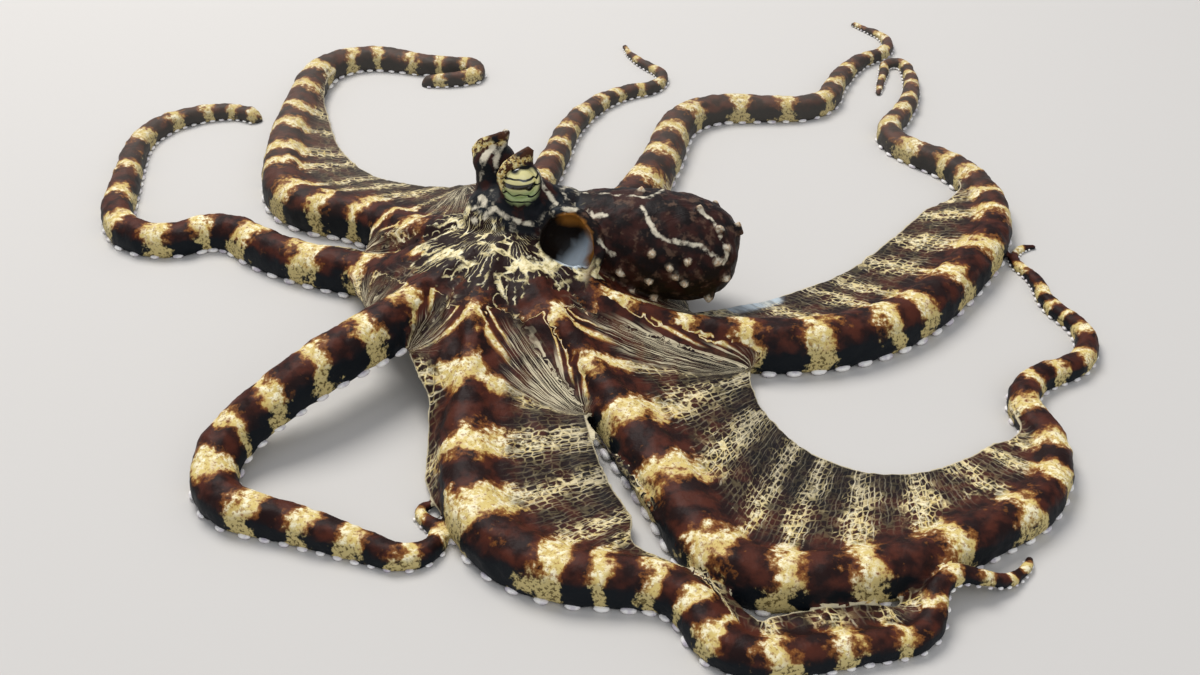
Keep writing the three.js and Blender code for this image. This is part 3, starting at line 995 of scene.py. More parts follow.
def post(
    name: str, path: Sequence[Sequence[float]], radii: Sequence[float], sides: int = 20, squash: float = 1.0
) -> Object:
    """A rounded post or ridge: rings that stand square to a path, each with its own radius.

    Args:
        name: The object's name.
        path: The middle of each ring, in mm from the crown.
        radii: The radius of each ring, in mm.
        sides: Faces round it.
        squash: Its height as a share of its width.

    Returns:
        The closed post.
    """
    centres = [Vector(to_metres(point)) for point in path]
    points = []
    for i, centre in enumerate(centres):
        ahead = centres[min(i + 1, len(centres) - 1)] - centres[max(i - 1, 0)]
        turn, radius = ahead.to_track_quat("Z", "Y"), radii[i] * MM
        for k in range(sides):
            angle = 2 * math.pi * k / sides
            spoke = turn @ Vector((radius * math.cos(angle), radius * math.sin(angle), 0))
            points.append(centre + Vector((spoke.x, spoke.y, spoke.z * squash)))
    faces = grid_faces(len(centres), sides, closed=True)
    faces.append(tuple(reversed(range(sides))))
    faces.append(tuple((len(centres) - 1) * sides + k for k in range(sides)))
    mesh = bpy.data.meshes.new(name)
    mesh.from_pydata([tuple(point) for point in points], [], faces)
    piece = bpy.data.objects.new(name, mesh)
    bpy.context.scene.collection.objects.link(piece)
    face_outwards(piece)
    return piece


@dataclass(frozen=True)
class Body:
    """The mantle, head and turrets, as lumps of clay that the skin is drawn over, in mm from the crown."""

    mantle: Mantle = Mantle()
    head: tuple = ((2, 20, 25), (13, 12, 10))  # middle and radii
    neck: tuple = ((14, 17.5, 25), (11, 10.5, 9))
    # A turret: shares of the way from its foot to the eye, each with a radius.
    skirt: tuple = ((-0.15, 10.2), (0.0, 9.4), (0.12, 8.2), (0.3, 6.9), (0.55, 5.9), (0.8, 5.5), (1.0, 4.6))
    lid: tuple = (5.8, 5.6, 5.0)
    horn_root: tuple = (1.2, 1.6, 3.0)  # a step from the middle of the eye
    horn: tuple = ((0, 2.6), (0.35, 1.8), (0.7, 1.3), (1, 1.0))  # shares of the way to its tip, and radii
    # The brow over an eye and the wing of skin behind it, as steps from the middle of the eye.
    hood: tuple = (
        (-5.0, -1.6, 0.2), (-4.9, -1.4, 2.2), (-3.2, -0.6, 4.6), (-0.6, 0.6, 6.0), (1.6, 1.4, 7.2),
        (2.9, 1.5, 8.5),
    )
    hood_radii: tuple = (1.0, 1.3, 1.5, 1.6, 1.5, 1.1)
    wing: tuple = ((1.8, 0.6, -1.4), (5.0, 1.2, -4.2), (8.6, 1.4, -7.2), (11.5, 1.6, -9.6))
    wing_radii: tuple = (3.4, 3.8, 4.2, 4.0)
    aperture: tuple = ((17.3, 7.0, 24.5), (7.6, 7.5, 8.0))
    lip: tuple = (
        (12.6, 9.2, 31.6), (16.4, 9.6, 32.8), (20.6, 8.2, 32.2), (24.2, 5.2, 29.0), (25.4, 1.6, 24.6),
        (23.4, -1.2, 20.2), (19, -2.0, 17.6),
    )
    lip_radius: float = 1.7
    # Cones of skin on the mantle: where each stands.
    papillae: tuple = (
        (30.6, 2.0, 19.0), (33.4, 1.8, 13.7), (38.0, 0.5, 17.2), (39.7, 2.8, 11.4), (44.8, -0.3, 19.1),
        (47.2, -0.3, 17.0), (53.9, 2.7, 11.0), (58.3, 2.5, 16.7), (55.7, 2.2, 21.5), (47.8, 0.0, 23.1),
        (43.2, 0.0, 21.5), (38.6, 1.2, 24.8), (51.1, 10.9, 32.0), (56.1, 6.5, 28.5), (58.2, 4.2, 24.6),
        (36, 17.5, 33.4), (34, 29, 22), (42, 28.5, 26), (50, 27, 20), (56, 22, 27), (60, 20, 19),
        (46, 27, 13), (54, 24, 12), (30, 28, 17), (61.5, 12.5, 26),
    )
    papilla: tuple = (1.5, 1.9)  # base radius and height
    far: float = 30.0  # stands for any long distance

    def mantle_clay(self) -> Object:
        """The egg of the mantle: one tapering post along its axis.

        Returns:
            The egg.
        """
        shares = np.concatenate([np.linspace(0, 0.85, 22), np.linspace(0.87, self.mantle.end, 12)])
        front, axis = self.mantle.axis
        path = [front + axis * share for share in shares]
        radii = [self.mantle.radius_at(share) for share in shares]
        return post("clay_mantle", path, radii, 44, self.mantle.squash)

    def turret_clay(self, eye: Eye) -> list[Object]:
        """One turret.

        Args:
            eye: The eye that it carries.

        Returns:
            Its flared skirt, the lid round the eye, the horn and brow above it and the wing behind it.
        """
        foot, centre, horn = (np.array(place, float) for place in (eye.foot, eye.centre, eye.horn))
        skirt = [lerp(foot, centre, share) for share, _ in self.skirt]
        spike = [lerp(eye.beside(self.horn_root), horn, share) for share, _ in self.horn]
        return [
            post(f"clay_skirt_{eye.name}", skirt, [radius for _, radius in self.skirt], 28),
            ball(f"clay_lid_{eye.name}", eye.centre, self.lid, 28),
            post(f"clay_horn_{eye.name}", spike, [radius for _, radius in self.horn], 16),
            post(f"clay_brow_{eye.name}", [eye.beside(step) for step in self.hood], self.hood_radii, 16),
            post(f"clay_wing_{eye.name}", [eye.beside(step) for step in self.wing], self.wing_radii, 20),
        ]

    def papillae_clay(self) -> list[Object]:
        """The small cones of the mantle, each square to the skin under it.

        Returns:
            The cones.
        """
        cones = []
        base, tall = self.papilla
        for i, place in enumerate(np.array(self.papillae, float)):
            out = self.mantle.outward(place)
            path = [place + out * reach for reach in (-1.6, 0.0, tall * 0.6, tall)]
            cones.append(post(f"clay_papilla_{i}", path, [base * 1.3, base, base * 0.55, base * 0.25], 10))
        return cones

    def clay(self) -> list[Object]:
        """All of the body.

        Returns:
            The lumps.
        """
        lumps = [self.mantle_clay(), ball("clay_head", *self.head), ball("clay_neck", *self.neck)]
        lumps += [post("clay_lip", self.lip, [self.lip_radius] * len(self.lip), 14), *self.papillae_clay()]
        for eye in EYES:
            lumps += self.turret_clay(eye)
        return lumps

    def mantle_away(self, points: Array) -> Array:
        """How far points lie from the mantle.

        Args:
            points: Places in mm from the crown.

        Returns:
            The distance of each from its surface.
        """
        front, axis = self.mantle.axis
        place = (points - front) @ axis / (axis @ axis)
        held = np.clip(place, 0.0, self.mantle.end)
        steps = np.linspace(0, self.mantle.end, 200)
        radius = np.interp(held, steps, np.array([self.mantle.radius_at(share) for share in steps]))
        gap = np.linalg.norm(points - (front + held[:, None] * axis), axis=1)
        return np.where(place < 0, self.far, np.abs(gap - radius))

    def head_away(self, points: Array) -> Array:
        """How far points lie from the head.

        Args:
            points: Places in mm from the crown.

        Returns:
            The distance of each from the nearer of the head's two lumps.
        """
        nearest = np.full(len(points), self.far)
        for centre, radii in (self.head, self.neck):
            size = np.linalg.norm((points - np.array(centre)) / np.array(radii), axis=1)
            nearest = np.minimum(nearest, np.abs(size - 1.0) * min(radii))
        return nearest

    def turret_away(self, points: Array) -> Array:
        """How far points lie from the turrets.

        Args:
            points: Places in mm from the crown.

        Returns:
            The distance of each from the nearer turret, and nothing high up beside an eye.
        """
        nearest = np.full(len(points), self.far)
        for eye in EYES:
            foot, centre = np.array(eye.foot, float), np.array(eye.centre, float)
            rise = centre - foot
            share = np.clip((points - foot) @ rise / (rise @ rise), -0.15, 1.0)
            wide = np.interp(share, [-0.15, 0.3, 1.0], [10.0, 6.9, 5.6])
            gap = np.linalg.norm(points - (foot + share[:, None] * rise), axis=1)
            nearest = np.minimum(nearest, np.maximum(np.abs(gap - wide) - 0.6, 0.0))
            high = smooth((points[:, 2] - 33.0) / 3.0) * (gap < 11.0)
            nearest = np.where(high > 0.5, 0.0, nearest)
        return nearest

    def shares(self, points: Array, away: Array) -> tuple[Array, Array, Array]:
        """How far each point belongs to the mantle, to the head and to a turret.

        Args:
            points: Places in mm from the crown.
            away: The distance of each point from the nearest arm surface, in mm.

        Returns:
            Three shares from 0 to 1.
        """
        # Low on the side of the first arms, the crown's own markings come up to the turrets.
        shoulder = smooth((31.5 - points[:, 2]) / 3.0) * smooth((1.0 - points[:, 0]) / 3.0)
        mantle_away = self.mantle_away(points)
        head_away = self.head_away(points) + 6.0 * shoulder
        turret_away = self.turret_away(points) + 6.0 * shoulder * smooth((30.5 - points[:, 2]) / 2.0)
        mantle = smooth((np.minimum(away, head_away) - mantle_away) / 2.0 + 0.5)
        head = smooth((np.minimum(away, mantle_away) - np.minimum(head_away, turret_away)) / 1.6 + 0.5)
        beside = np.minimum(np.minimum(away, mantle_away), head_away + 1.0)
        turret = smooth((beside - turret_away) / 1.6 + 0.5)
        return mantle, head, turret

    def papilla_tips(self) -> Array:
        """The places near the tips of the papillae that their pale colour is centred on."""
        places = np.array(self.papillae, float)
        return np.array([place + self.mantle.outward(place) * self.papilla[1] * 0.7 for place in places])

    def hollow(self, points: Array) -> tuple[Array, Array, Array]:
        """How far each point lies in the aperture, on its lower wall where a pale-blue lit crescent is
        painted, and on its brown rim.

        Args:
            points: Places in mm from the crown.

        Returns:
            Three shares from 0 to 1.
        """
        centre, radii = self.aperture
        step = points - np.array(centre)
        inside = smooth((1.09 - np.linalg.norm(step / np.array(radii), axis=1)) / 0.07)
        right, rise = step[:, 0], 0.82 * step[:, 2] + 0.57 * step[:, 1]
        # Painted light: the lower side of the hollow, as the camera sees it, gets a pale-blue lit crescent;
        # the rest of its inside gets painted shade.
        blue = smooth((0.7 * right - 0.7 * rise + 0.2) / 4.5)
        rim = smooth((np.hypot(right, rise) - 5.0) / 1.2) * smooth((0.9 * right + 0.5 * rise) / 2.5)
        return inside, blue, rim


# ---- the skin
@dataclass
class Skin:
    """The one skin over mantle, head, crown, arms and webs, with its sizes in mm."""

    voxel: float = 0.5
    quick_voxel: float = 0.85
    most_faces: int = 190_000
    eye_opening: tuple = (5.2, 3.6, 4.6)
    opening_out: float = 4.6  # how far in front of the eye's middle the opening is cut
    grain: float = 4.0  # of the unevenness
    uneven: float = 1.1  # its height
    even_above: float = 32.0  # the turrets stay even
    even_over: float = 4.0  # over what height the unevenness ends
    tubes: list[ArmTube] = field(init=False)
    webs: list[WebPiece] = field(init=False)
    fins: list[FinPiece] = field(init=False)
    crown: CrownPiece = field(init=False)
    body: Body = field(init=False)

    def __post_init__(self) -> None:
        """Sets out the arms, webs, fins and body under the skin."""
        self.tubes = [ArmTube(arm, number) for number, arm in enumerate(ARMS.values())]
        self.webs = [WebPiece(web) for web in WEBS]
        self.fins = [FinPiece(fin) for fin in FINS]
        self.crown = CrownPiece(self.webs)
        self.body = Body()

    def build(self) -> Object:
        """Joins the clay, draws one surface over it, opens the cavities and smooths it.

        Returns:
            The skin.
        """
        clay = [part.clay() for part in (*self.tubes, *self.webs, *self.fins, self.crown)] + self.body.clay()
        log.info("clay: %d lumps", len(clay))
        skin = join(clay, "octopus_skin")
        voxel = self.voxel
        apply_modifier(skin, "REMESH", mode="VOXEL", voxel_size=voxel * MM)
        log.info("skin remeshed: %d faces", len(skin.data.polygons))
        self.cut(skin, ball("cut_aperture", *self.body.aperture))
        for eye in EYES:
            middle = np.array(eye.centre) + np.array(eye.gaze) * self.opening_out
            self.cut(skin, ball(f"cut_eye_{eye.name}", middle, self.eye_opening))
        apply_modifier(skin, "SMOOTH", factor=0.5, iterations=5)
        self.roughen(skin)
        triangles = sum(len(face.vertices) - 2 for face in skin.data.polygons)
        if triangles > self.most_faces:
            apply_modifier(skin, "DECIMATE", ratio=self.most_faces / triangles)
        only(skin)
        bpy.ops.object.shade_smooth()
        log.info("skin: %d faces", len(skin.data.polygons))
        return skin

    def roughen(self, skin: Object) -> None:
        """Makes all but the turrets uneven, as living skin is, and keeps the skin above the floor.

        Args:
            skin: The skin.
        """
        even = np.empty(len(skin.data.vertices) * 3, np.float32)
        rough = even.copy()
        skin.data.vertices.foreach_get("co", even)
        clouds = bpy.data.textures.new("skin_unevenness", "CLOUDS")
        clouds.noise_scale, clouds.noise_depth = self.grain * MM, 2
        apply_modifier(skin, "DISPLACE", texture=clouds, strength=self.uneven * MM, mid_level=0.5)
        skin.data.vertices.foreach_get("co", rough)
        turret = smooth((even[2::3] / MM - self.even_above) / self.even_over)
        placed = lerp(rough.reshape(-1, 3), even.reshape(-1, 3), turret[:, None])
        placed[:, 2] = np.maximum(placed[:, 2], 0.0)
        skin.data.vertices.foreach_set("co", placed.astype(np.float32).ravel())

    @staticmethod
    def cut(skin: Object, cutter: Object) -> None:
        """Cuts cutter out of skin and removes it."""
        apply_modifier(skin, "BOOLEAN", operation="DIFFERENCE", solver="MANIFOLD", object=cutter)
        bpy.data.objects.remove(cutter)


# ---- marks that the skin's colours follow
class PaleLine(Enum):
    """White and cream lines of the head and mantle: half width, then points, in mm from the crown."""

    NEAR_SKIRT = (
        0.45, (-2.1, 12.1, 31.8), (0.7, 10.2, 30.6), (3.8, 9.5, 29.4), (7.7, 9.7, 28.6), (11.5, 10.3, 28.1),
        (14, 11, 29.4),
    )
    NEAR_EDGE = (
        0.4, (9.4, 15.8, 40.6), (10.2, 15.1, 38.5), (11.4, 14.2, 35.9), (13.1, 13.2, 33.6), (15.2, 12, 32.4),
    )
    LIP = (
        0.55, (14, 10, 31), (16.3, 8.5, 33.8), (18.6, 8.1, 33.8), (21.7, 10.8, 32.2), (24, 9.1, 31.3),
        (26.7, 9.1, 31.7),
    )
    BACK = (
        0.3, (18.5, 19.4, 33.0), (25.6, 17.3, 33.3), (30.3, 15.7, 33.7), (38, 13.9, 33.8), (40.1, 16.6, 33.7),
        (42, 21, 32.6),
    )
    FORK = (
        0.45, (36, 10.9, 33.4), (38.2, 5.7, 31), (39.7, 3.5, 29.2), (42.4, 2.4, 28.1), (50.9, 2.1, 26.5),
        (56.1, 1.8, 22.1),
    )
    END = (0.4, (51.1, 10.3, 32.3), (54.2, 8.6, 30.2), (57.3, 3.8, 26.4), (58.1, 3.4, 23), (57.3, 2.1, 21.1))
    BELOW_LIP = (0.5, (25.2, 2.4, 27.6), (27.1, 2, 25.2), (28.6, 2.2, 23.7))
    PATCH_LOW = (0.8, (-10.4, 13.2, 27.6), (-9.0, 13.0, 28.4), (-7.2, 12.0, 28.0))
    PATCH_MIDDLE = (0.7, (-8.6, 15.8, 30.2), (-7.4, 14.6, 30.9))
    PATCH_HIGH = (0.8, (-6.2, 17.0, 32.6), (-4.8, 15.4, 32.4), (-4.4, 13.6, 31.4))
    PATCH_FRONT = (0.5, (-4.6, 11.4, 29.4), (-3.2, 12.4, 31.2), (-2.1, 12.1, 31.8))
    FAR_OUTER = (0.8, (-5.6, 23, 34), (-5.1, 23.2, 41.2), (-3.5, 24, 42.5), (-1, 26, 43.6), (0.6, 27.6, 46))
    FAR_INNER = (0.5, (-1.9, 22.1, 35), (-1.9, 22.1, 40), (-1.2, 23.6, 41.9), (0.3, 26.2, 43.8))

    def distance(self, points: Array) -> Array:
        """The distance of each point from the edge of the line, in mm, negative inside it."""
        half, *line = self.value
        return away_from(np.array(line, float), points) - half


def away_from(line: Array, points: Array) -> Array:
    """How far points lie from a line drawn through several places.

    Args:
        line: The places, in mm.
        points: The points, in mm.

    Returns:
        The distance of each point.
    """
    nearest = np.full(len(points), np.inf)
    for start, end in zip(line, line[1:]):
        step = end - start
        share = np.clip(((points - start) @ step) / (step @ step), 0.0, 1.0)
        nearest = np.minimum(nearest, np.linalg.norm(points - (start + share[:, None] * step), axis=1))
    return nearest


class Marks:
    """Gives each corner of the skin the values of the arm, or the part of the body, that it follows."""

    SHEEN_PATCH = ((63, 9.5, 3), (71, 13.5, 3))  # a painted blue-white reflection on the web behind the mantle
    REACH = 30.0  # mm, how far off a corner's arm may lie
    AROUND = 9.0  # mm, how far outside an arm's box its corners may lie
    ANYWHERE = 200.0  # mm, further than any arm lies
    NONE = 1e6  # stands for the distance from an arm that isn't near
    STRIPED = 6.6  # mm from the middle of an eye to where its stripes end

    def __init__(self, sources: list[Source]) -> None:
        """Gathers the surfaces of each arm.

        Args:
            sources: The surfaces of all arms.
        """
        self.trees: list[BVHTree] = []
        self.corners: list[Array] = []
        self.values: list[Array] = []
        self.points: list[Array] = []
        for number in range(len(ARMS)):
            mine = [source for source in sources if source.number == number]
            triangles, first = [], 0
            for source in mine:
                for a, b, c, d in source.faces:
                    triangles += [(a + first, b + first, c + first), (a + first, c + first, d + first)]
                first += len(source.points)
            points = np.concatenate([source.points for source in mine])
            self.trees.append(BVHTree.FromPolygons(points.tolist(), triangles, all_triangles=True))
            self.corners.append(np.array(triangles))
            self.values.append(np.concatenate([source.values for source in mine]))
            self.points.append(points)

    def nearest(self, number: int, points: Array, limit: float) -> tuple[Array, Array]:
        """Looks for the nearest place on one arm's surfaces.

        Args:
            number: The arm's number.
            points: Places in mm from the crown.
            limit: The furthest that it looks, in mm.

        Returns:
            The nearest triangle to each point, and its distance.
        """
        face = np.zeros(len(points), int)
        away = np.full(len(points), self.NONE)
        find = self.trees[number].find_nearest
        for i, point in enumerate(points.tolist()):
            _, _, index, distance = find(point, limit)
            if index is not None:
                face[i], away[i] = index, distance
        return face, away

    def read(self, number: int, face: Array, points: Array) -> Array:
        """Reads the marks off triangles of one arm.

        Args:
            number: The arm's number.
            face: The triangle for each point.
            points: Places in mm from the crown.

        Returns:
            One row of values for each point.
        """
        corner = self.corners[number][face]
        a, b, c = (self.points[number][corner[:, k]] for k in range(3))
        ab, ac, ap = b - a, c - a, points - a
        d00, d01, d11 = ((ab * ab).sum(1), (ab * ac).sum(1), (ac * ac).sum(1))
        d20, d21 = (ap * ab).sum(1), (ap * ac).sum(1)
        whole = np.maximum(d00 * d11 - d01 * d01, 1e-9)
        v = np.clip((d11 * d20 - d01 * d21) / whole, 0.0, 1.0)
        w = np.clip((d00 * d21 - d01 * d20) / whole, 0.0, 1.0 - v)
        values = self.values[number]
        return (
            values[corner[:, 0]] * (1.0 - v - w)[:, None]
            + values[corner[:, 1]] * v[:, None]
            + values[corner[:, 2]] * w[:, None]
        )

    def dress(self, skin: Object, body: Body) -> None:
        """Writes the attributes that the skin's material reads.

        Args:
            skin: The finished skin.
            body: The body under it.
        """
        mesh = skin.data
        count = len(mesh.vertices)
        points = np.empty(count * 3, np.float32)
        mesh.vertices.foreach_get("co", points)
        points = points.reshape(-1, 3).astype(float) / MM - row_frame_shift()
        normals = np.empty(count * 3, np.float32)
        mesh.vertex_normals.foreach_get("vector", normals)
        up = normals.reshape(-1, 3)[:, 2]
        best = np.full(count, self.NONE)
        owner, chosen = np.zeros(count, int), np.zeros(count, int)
        for number in range(len(ARMS)):
            low = self.points[number].min(0) - self.AROUND
            high = self.points[number].max(0) + self.AROUND
            near = np.flatnonzero(np.all((points > low) & (points < high), axis=1))
            face, away = self.nearest(number, points[near], self.REACH)
            closer = away < best[near]
            rows = near[closer]
            best[rows], owner[rows], chosen[rows] = away[closer], number, face[closer]
        values = np.zeros((count, self.values[0].shape[1]))
        for number in range(len(ARMS)):
            rows = np.flatnonzero(owner == number)
            values[rows] = self.read(number, chosen[rows], points[rows])
        # All corners of a face read the same arm, because the marks jump from arm to arm.
        corner = np.empty(len(mesh.loops), np.int32)
        mesh.loops.foreach_get("vertex_index", corner)
        sizes = np.empty(len(mesh.polygons), np.int32)
        mesh.polygons.foreach_get("loop_total", sizes)
        starts = np.concatenate([[0], np.cumsum(sizes)[:-1]])
        face_owner = np.repeat(owner[corner[starts]], sizes)
        marks = values[corner]
        stray = np.flatnonzero(face_owner != owner[corner])
        for number in range(len(ARMS)):
            rows = stray[face_owner[stray] == number]
            if len(rows):
                face, _ = self.nearest(number, points[corner[rows]], self.ANYWHERE)
                marks[rows] = self.read(number, face, points[corner[rows]])
        mantle, head, turret = body.shares(points, best)
        # Painted shade: skin whose normal faces little upwards, the arms' steep sides, is marked for darker
        # shaded colours.
        wall = smooth((0.62 - up) / 0.35)
        line = np.min([pale.distance(points) for pale in PaleLine], axis=0)
        hoods = [np.array([eye.beside(step) for step in body.hood]) for eye in EYES]
        hood = np.min([away_from(brow, points) for brow in hoods], axis=0)
        cone = np.min([np.linalg.norm(points - place, axis=1) for place in body.papilla_tips()], axis=0)
        lid = np.max([self.around(eye, points) for eye in EYES], axis=0)
        # Painted reflection: a blue-white patch on the web behind the mantle.
        bare = smooth((5.0 - away_from(np.array(self.SHEEN_PATCH, float), points)) / 2.5)
        self.write(mesh, "skin_run", marks[:, :3])
        self.write(mesh, "skin_mark", np.stack([marks[:, 3], wall[corner], marks[:, 4]], axis=1))
        self.write(mesh, "skin_part", np.stack([mantle, head, turret], axis=1)[corner])
        self.write(mesh, "skin_line", np.stack([line[corner], lid[corner], marks[:, 5]], axis=1))
        spot = np.stack([smooth((2.5 - hood) / 0.8), smooth((1.35 - cone) / 0.5), bare], axis=1)
        self.write(mesh, "skin_spot", spot[corner])
        self.write(mesh, "skin_hollow", np.stack(body.hollow(points), axis=1)[corner])

    def around(self, eye: Eye, points: Array) -> Array:
        """Marks the striped skin round an eye, on the side that it looks to.

        Args:
            eye: The eye.
            points: Places in mm from the crown.

        Returns:
            The share of stripes at each point.
        """
        step = points - np.array(eye.centre)
        away = np.linalg.norm(step, axis=1)
        ahead = step @ np.array(eye.gaze) / np.maximum(away, 0.1)
        return smooth((self.STRIPED - away) / 0.6) * smooth((ahead - 0.3) / 0.12)

    @staticmethod
    def write(mesh: Mesh, name: str, values: Array) -> None:
        """Writes one vector for each corner of the mesh."""
        attribute = mesh.attributes.new(name, "FLOAT_VECTOR", "CORNER")
        attribute.data.foreach_set("vector", values.astype(np.float32).ravel())


# ---- suckers
@dataclass(frozen=True)
class Suckers:
    """The white rims of the suckers, which show as scallops along the lower edges of the free arms.

    Sizes are in mm, on an arm whose half width is arm_width.
    """

    arm_width: float = 7.0
    clear: float = 2.0  # from where the arm comes free to the first rim
    overlap: float = 8.0  # how far before the end of a fin the arm counts as free
    tip: float = 1.5  # left bare at the tip
    pitch: float = 5.8
    least_pitch: float = 1.5
    crowding: Pair = (6.0, 0.8)  # half width below which rims close up, and the power of it
    out: float = 0.94  # how far out a rim stands, as a share of the arm's half width
    height: float = 0.8
    least_height: float = 0.45
    radii: Triple = (1.95, 0.85, 0.6)  # along the arm, across it and upwards
    extra: Triple = (0.1, 0.25, 0.12)  # added to each, so that small rims still show
    flatness: float = 0.8  # power that squares a rim's profile
    variation: float = 0.12

    def stations(self, arm: Arm, side: int) -> Array:
        """Finds where the rims stand, closer together towards the arm's tip.

        Args:
            arm: The arm.
            side: 1 for its left, -1 for its right.

        Returns:
            Distances along the arm.
        """
        start = max(
            [web.level[0] for web in WEBS if web.first == arm.name and side > 0]
            + [web.level[1] for web in WEBS if web.second == arm.name and side < 0]
            + [fin.stretch[1] - self.overlap for fin in FINS if fin.arm == arm.name and fin.side == side]
        )
        found, s = [], start + self.clear
        wide, power = self.crowding
        while s < arm.course.length - self.tip:
            found.append(s)
            half = float(arm.size(s)[0][0])
            s += max(self.pitch * min(half / wide, 1.0) ** power, self.least_pitch)
        return np.array(found)

    def build(self) -> Object:
        """Models one sucker rim and copies it along the arms.

        Returns:
            All the rims, as one piece.
        """
        bpy.ops.object.select_all(action="DESELECT")
        bpy.ops.mesh.primitive_uv_sphere_add(segments=10, ring_count=6, radius=1.0)
        pattern = bpy.context.object
        verts = np.array([vertex.co for vertex in pattern.data.vertices])
        verts[:, 2] = np.sign(verts[:, 2]) * np.abs(verts[:, 2]) ** self.flatness
        faces = [tuple(face.vertices) for face in pattern.data.polygons]
        bpy.data.objects.remove(pattern)
        points, all_faces = [], []
        for arm in ARMS.values():
            for side in (1, -1):
                for s in self.stations(arm, side):
                    half, _, lift = (float(value[0]) for value in arm.size(s))
                    size = half / self.arm_width
                    z = lift + max(self.height * size, self.least_height)
                    centre = arm.point(s, side * half * self.out, z)[0]
                    bearing = float(arm.course.at(s)[2][0])
                    size *= 1.0 + self.variation * math.sin(2.1 * s + side)
                    lens = verts * (np.array(self.radii) * size + np.array(self.extra))
                    cos, sin = math.cos(bearing), math.sin(bearing)
                    x, y = lens[:, 0] * cos - lens[:, 1] * sin, lens[:, 0] * sin + lens[:, 1] * cos
                    placed = centre + np.stack([x, y, lens[:, 2]], axis=1)
                    placed[:, 2] = np.maximum(placed[:, 2], 0.02)
                    first = sum(len(block) for block in points)
                    points.append(placed)
                    all_faces += [tuple(i + first for i in face) for face in faces]
        piece = mesh_piece("suckers", np.concatenate(points), all_faces)
        only(piece)
        bpy.ops.object.shade_smooth()
        log.info("suckers: %d", len(points))
        return piece


# ---- finishes
def colour(code: str) -> tuple[float, float, float, float]:
    """Turns an sRGB hex value to linear colour.

    Args:
        code: The value, such as #200d0b.

    Returns:
        Red, green, blue and alpha.
    """
    parts = [int(code[i : i + 2], 16) / 255.0 for i in (1, 3, 5)]
    linear = [part / 12.92 if part <= 0.04045 else ((part + 0.055) / 1.055) ** 2.4 for part in parts]
    return (*linear, 1.0)


def add_node(
    tree: bpy.types.NodeTree, kind: str, *feeds: object, out: int | slice = 0, **settings: object
) -> Socket:
    """Adds a node with its settings and links.

    Args:
        tree: The node tree.
        kind: The node's type, without its ShaderNode prefix.
        feeds: For each input in turn, the socket that feeds it, its value or its sRGB hex colour.
        out: Which of the outputs in use to return.
        settings: Values for the node itself.

    Returns:
        The output asked for, or the list of them where out is a slice.
    """
    node = tree.nodes.new("ShaderNode" + kind)
    for name, value in settings.items():
        setattr(node, name, value)
    for socket, feed in zip([socket for socket in node.inputs if socket.enabled], feeds):
        if isinstance(feed, Socket):
            tree.links.new(feed, socket)
        else:
            socket.default_value = colour(feed) if isinstance(feed, str) else feed
    return [socket for socket in node.outputs if socket.enabled][out]


TIMES, PLUS, LESS, OVER, MOST, SIZE, WAVE = (
    {"operation": name}
    for name in ("MULTIPLY", "ADD", "SUBTRACT", "DIVIDE", "MAXIMUM", "ABSOLUTE", "PINGPONG")
)
EASED = {"interpolation_type": "SMOOTHSTEP"}
RGBA = {"data_type": "RGBA"}
EDGES = {"feature": "DISTANCE_TO_EDGE"}


def new_material(name: str, **values: float) -> tuple[Material, bpy.types.NodeTree, bpy.types.Node]:
    """Makes a material.

    Args:
        name: Its name.
        values: Values for the shader's sockets, with _ for each space in their names.

    Returns:
        The material, its tree and its shader.
    """
    material = bpy.data.materials.new(name)
    material.use_nodes = True
    shader = material.node_tree.nodes["Principled BSDF"]
    for socket, value in values.items():
        shader.inputs[socket.replace("_", " ")].default_value = value
    return material, material.node_tree, shader


@dataclass(frozen=True)
class OctopusSkin:
    """Living skin: matt brown chromatophores over cream, with almost no shine, as flesh has under water, and
    with painted shade, a painted reflection and painted haze in its colours.
    """

    brown: str = "#200d0b"
    brown_lit: str = "#4e2418"
    # painted shade: the brown of the arms' steep walls, made blue-black as if in shade
    wall_black: str = "#0c1218"
    cream: str = "#dcc47a"
    cream_light: str = "#ead9a0"
    cream_bright: str = "#fff6d2"
    gold: str = "#b88a42"
    # painted shade: the cream of the pale bands on the arms' steep walls, dulled as if in shade, with olive
    # specks
    wall_cream: str = "#c8b67c"
    wall_olive: str = "#6a5b36"
    fringe: str = "#8f5726"
    web_dark: str = "#0e0a0b"
    web_slate: str = "#231615"
    web_edge: str = "#0b0f14"
    web_streak: str = "#e6d9b6"
    web_cream: str = "#f3dfa4"
    mantle_dark: str = "#130b0b"
    mantle_red: str = "#341813"
    mantle_olive: str = "#2a210f"
    mottle: str = "#6b5242"
    line_white: str = "#e6dcc4"
    cone: str = "#c7a986"
    skirt_blue: str = "#0e1117"
    slate: str = "#1e242b"
    hollow_shade: str = "#140c06"
    hollow_lit_blue: str = "#e2f3ff"
    hollow_brown: str = "#b0752f"
    bare_blue: str = "#c3d0d8"
    painted_haze: str = "#8d8478"
    brow: str = "#c9a75a"
    brow_light: str = "#efe2a8"
    brow_spot: str = "#4a2a18"

    def build(self, middle: Pair) -> Material:
        """Makes the material.

        Args:
            middle: The middle of the crown in the row frame, in mm.

        Returns:
            The material.
        """
        material, tree, shader = new_material("octopus_skin", Roughness=0.55, Specular_IOR_Level=0.14)
        pattern = SkinPattern(tree, self)
        surface = pattern.body(pattern.crown(pattern.web(pattern.arm()), middle))
        tree.links.new(surface, shader.inputs["Base Color"])
        tree.links.new(pattern.relief(), shader.inputs["Normal"])
        return material


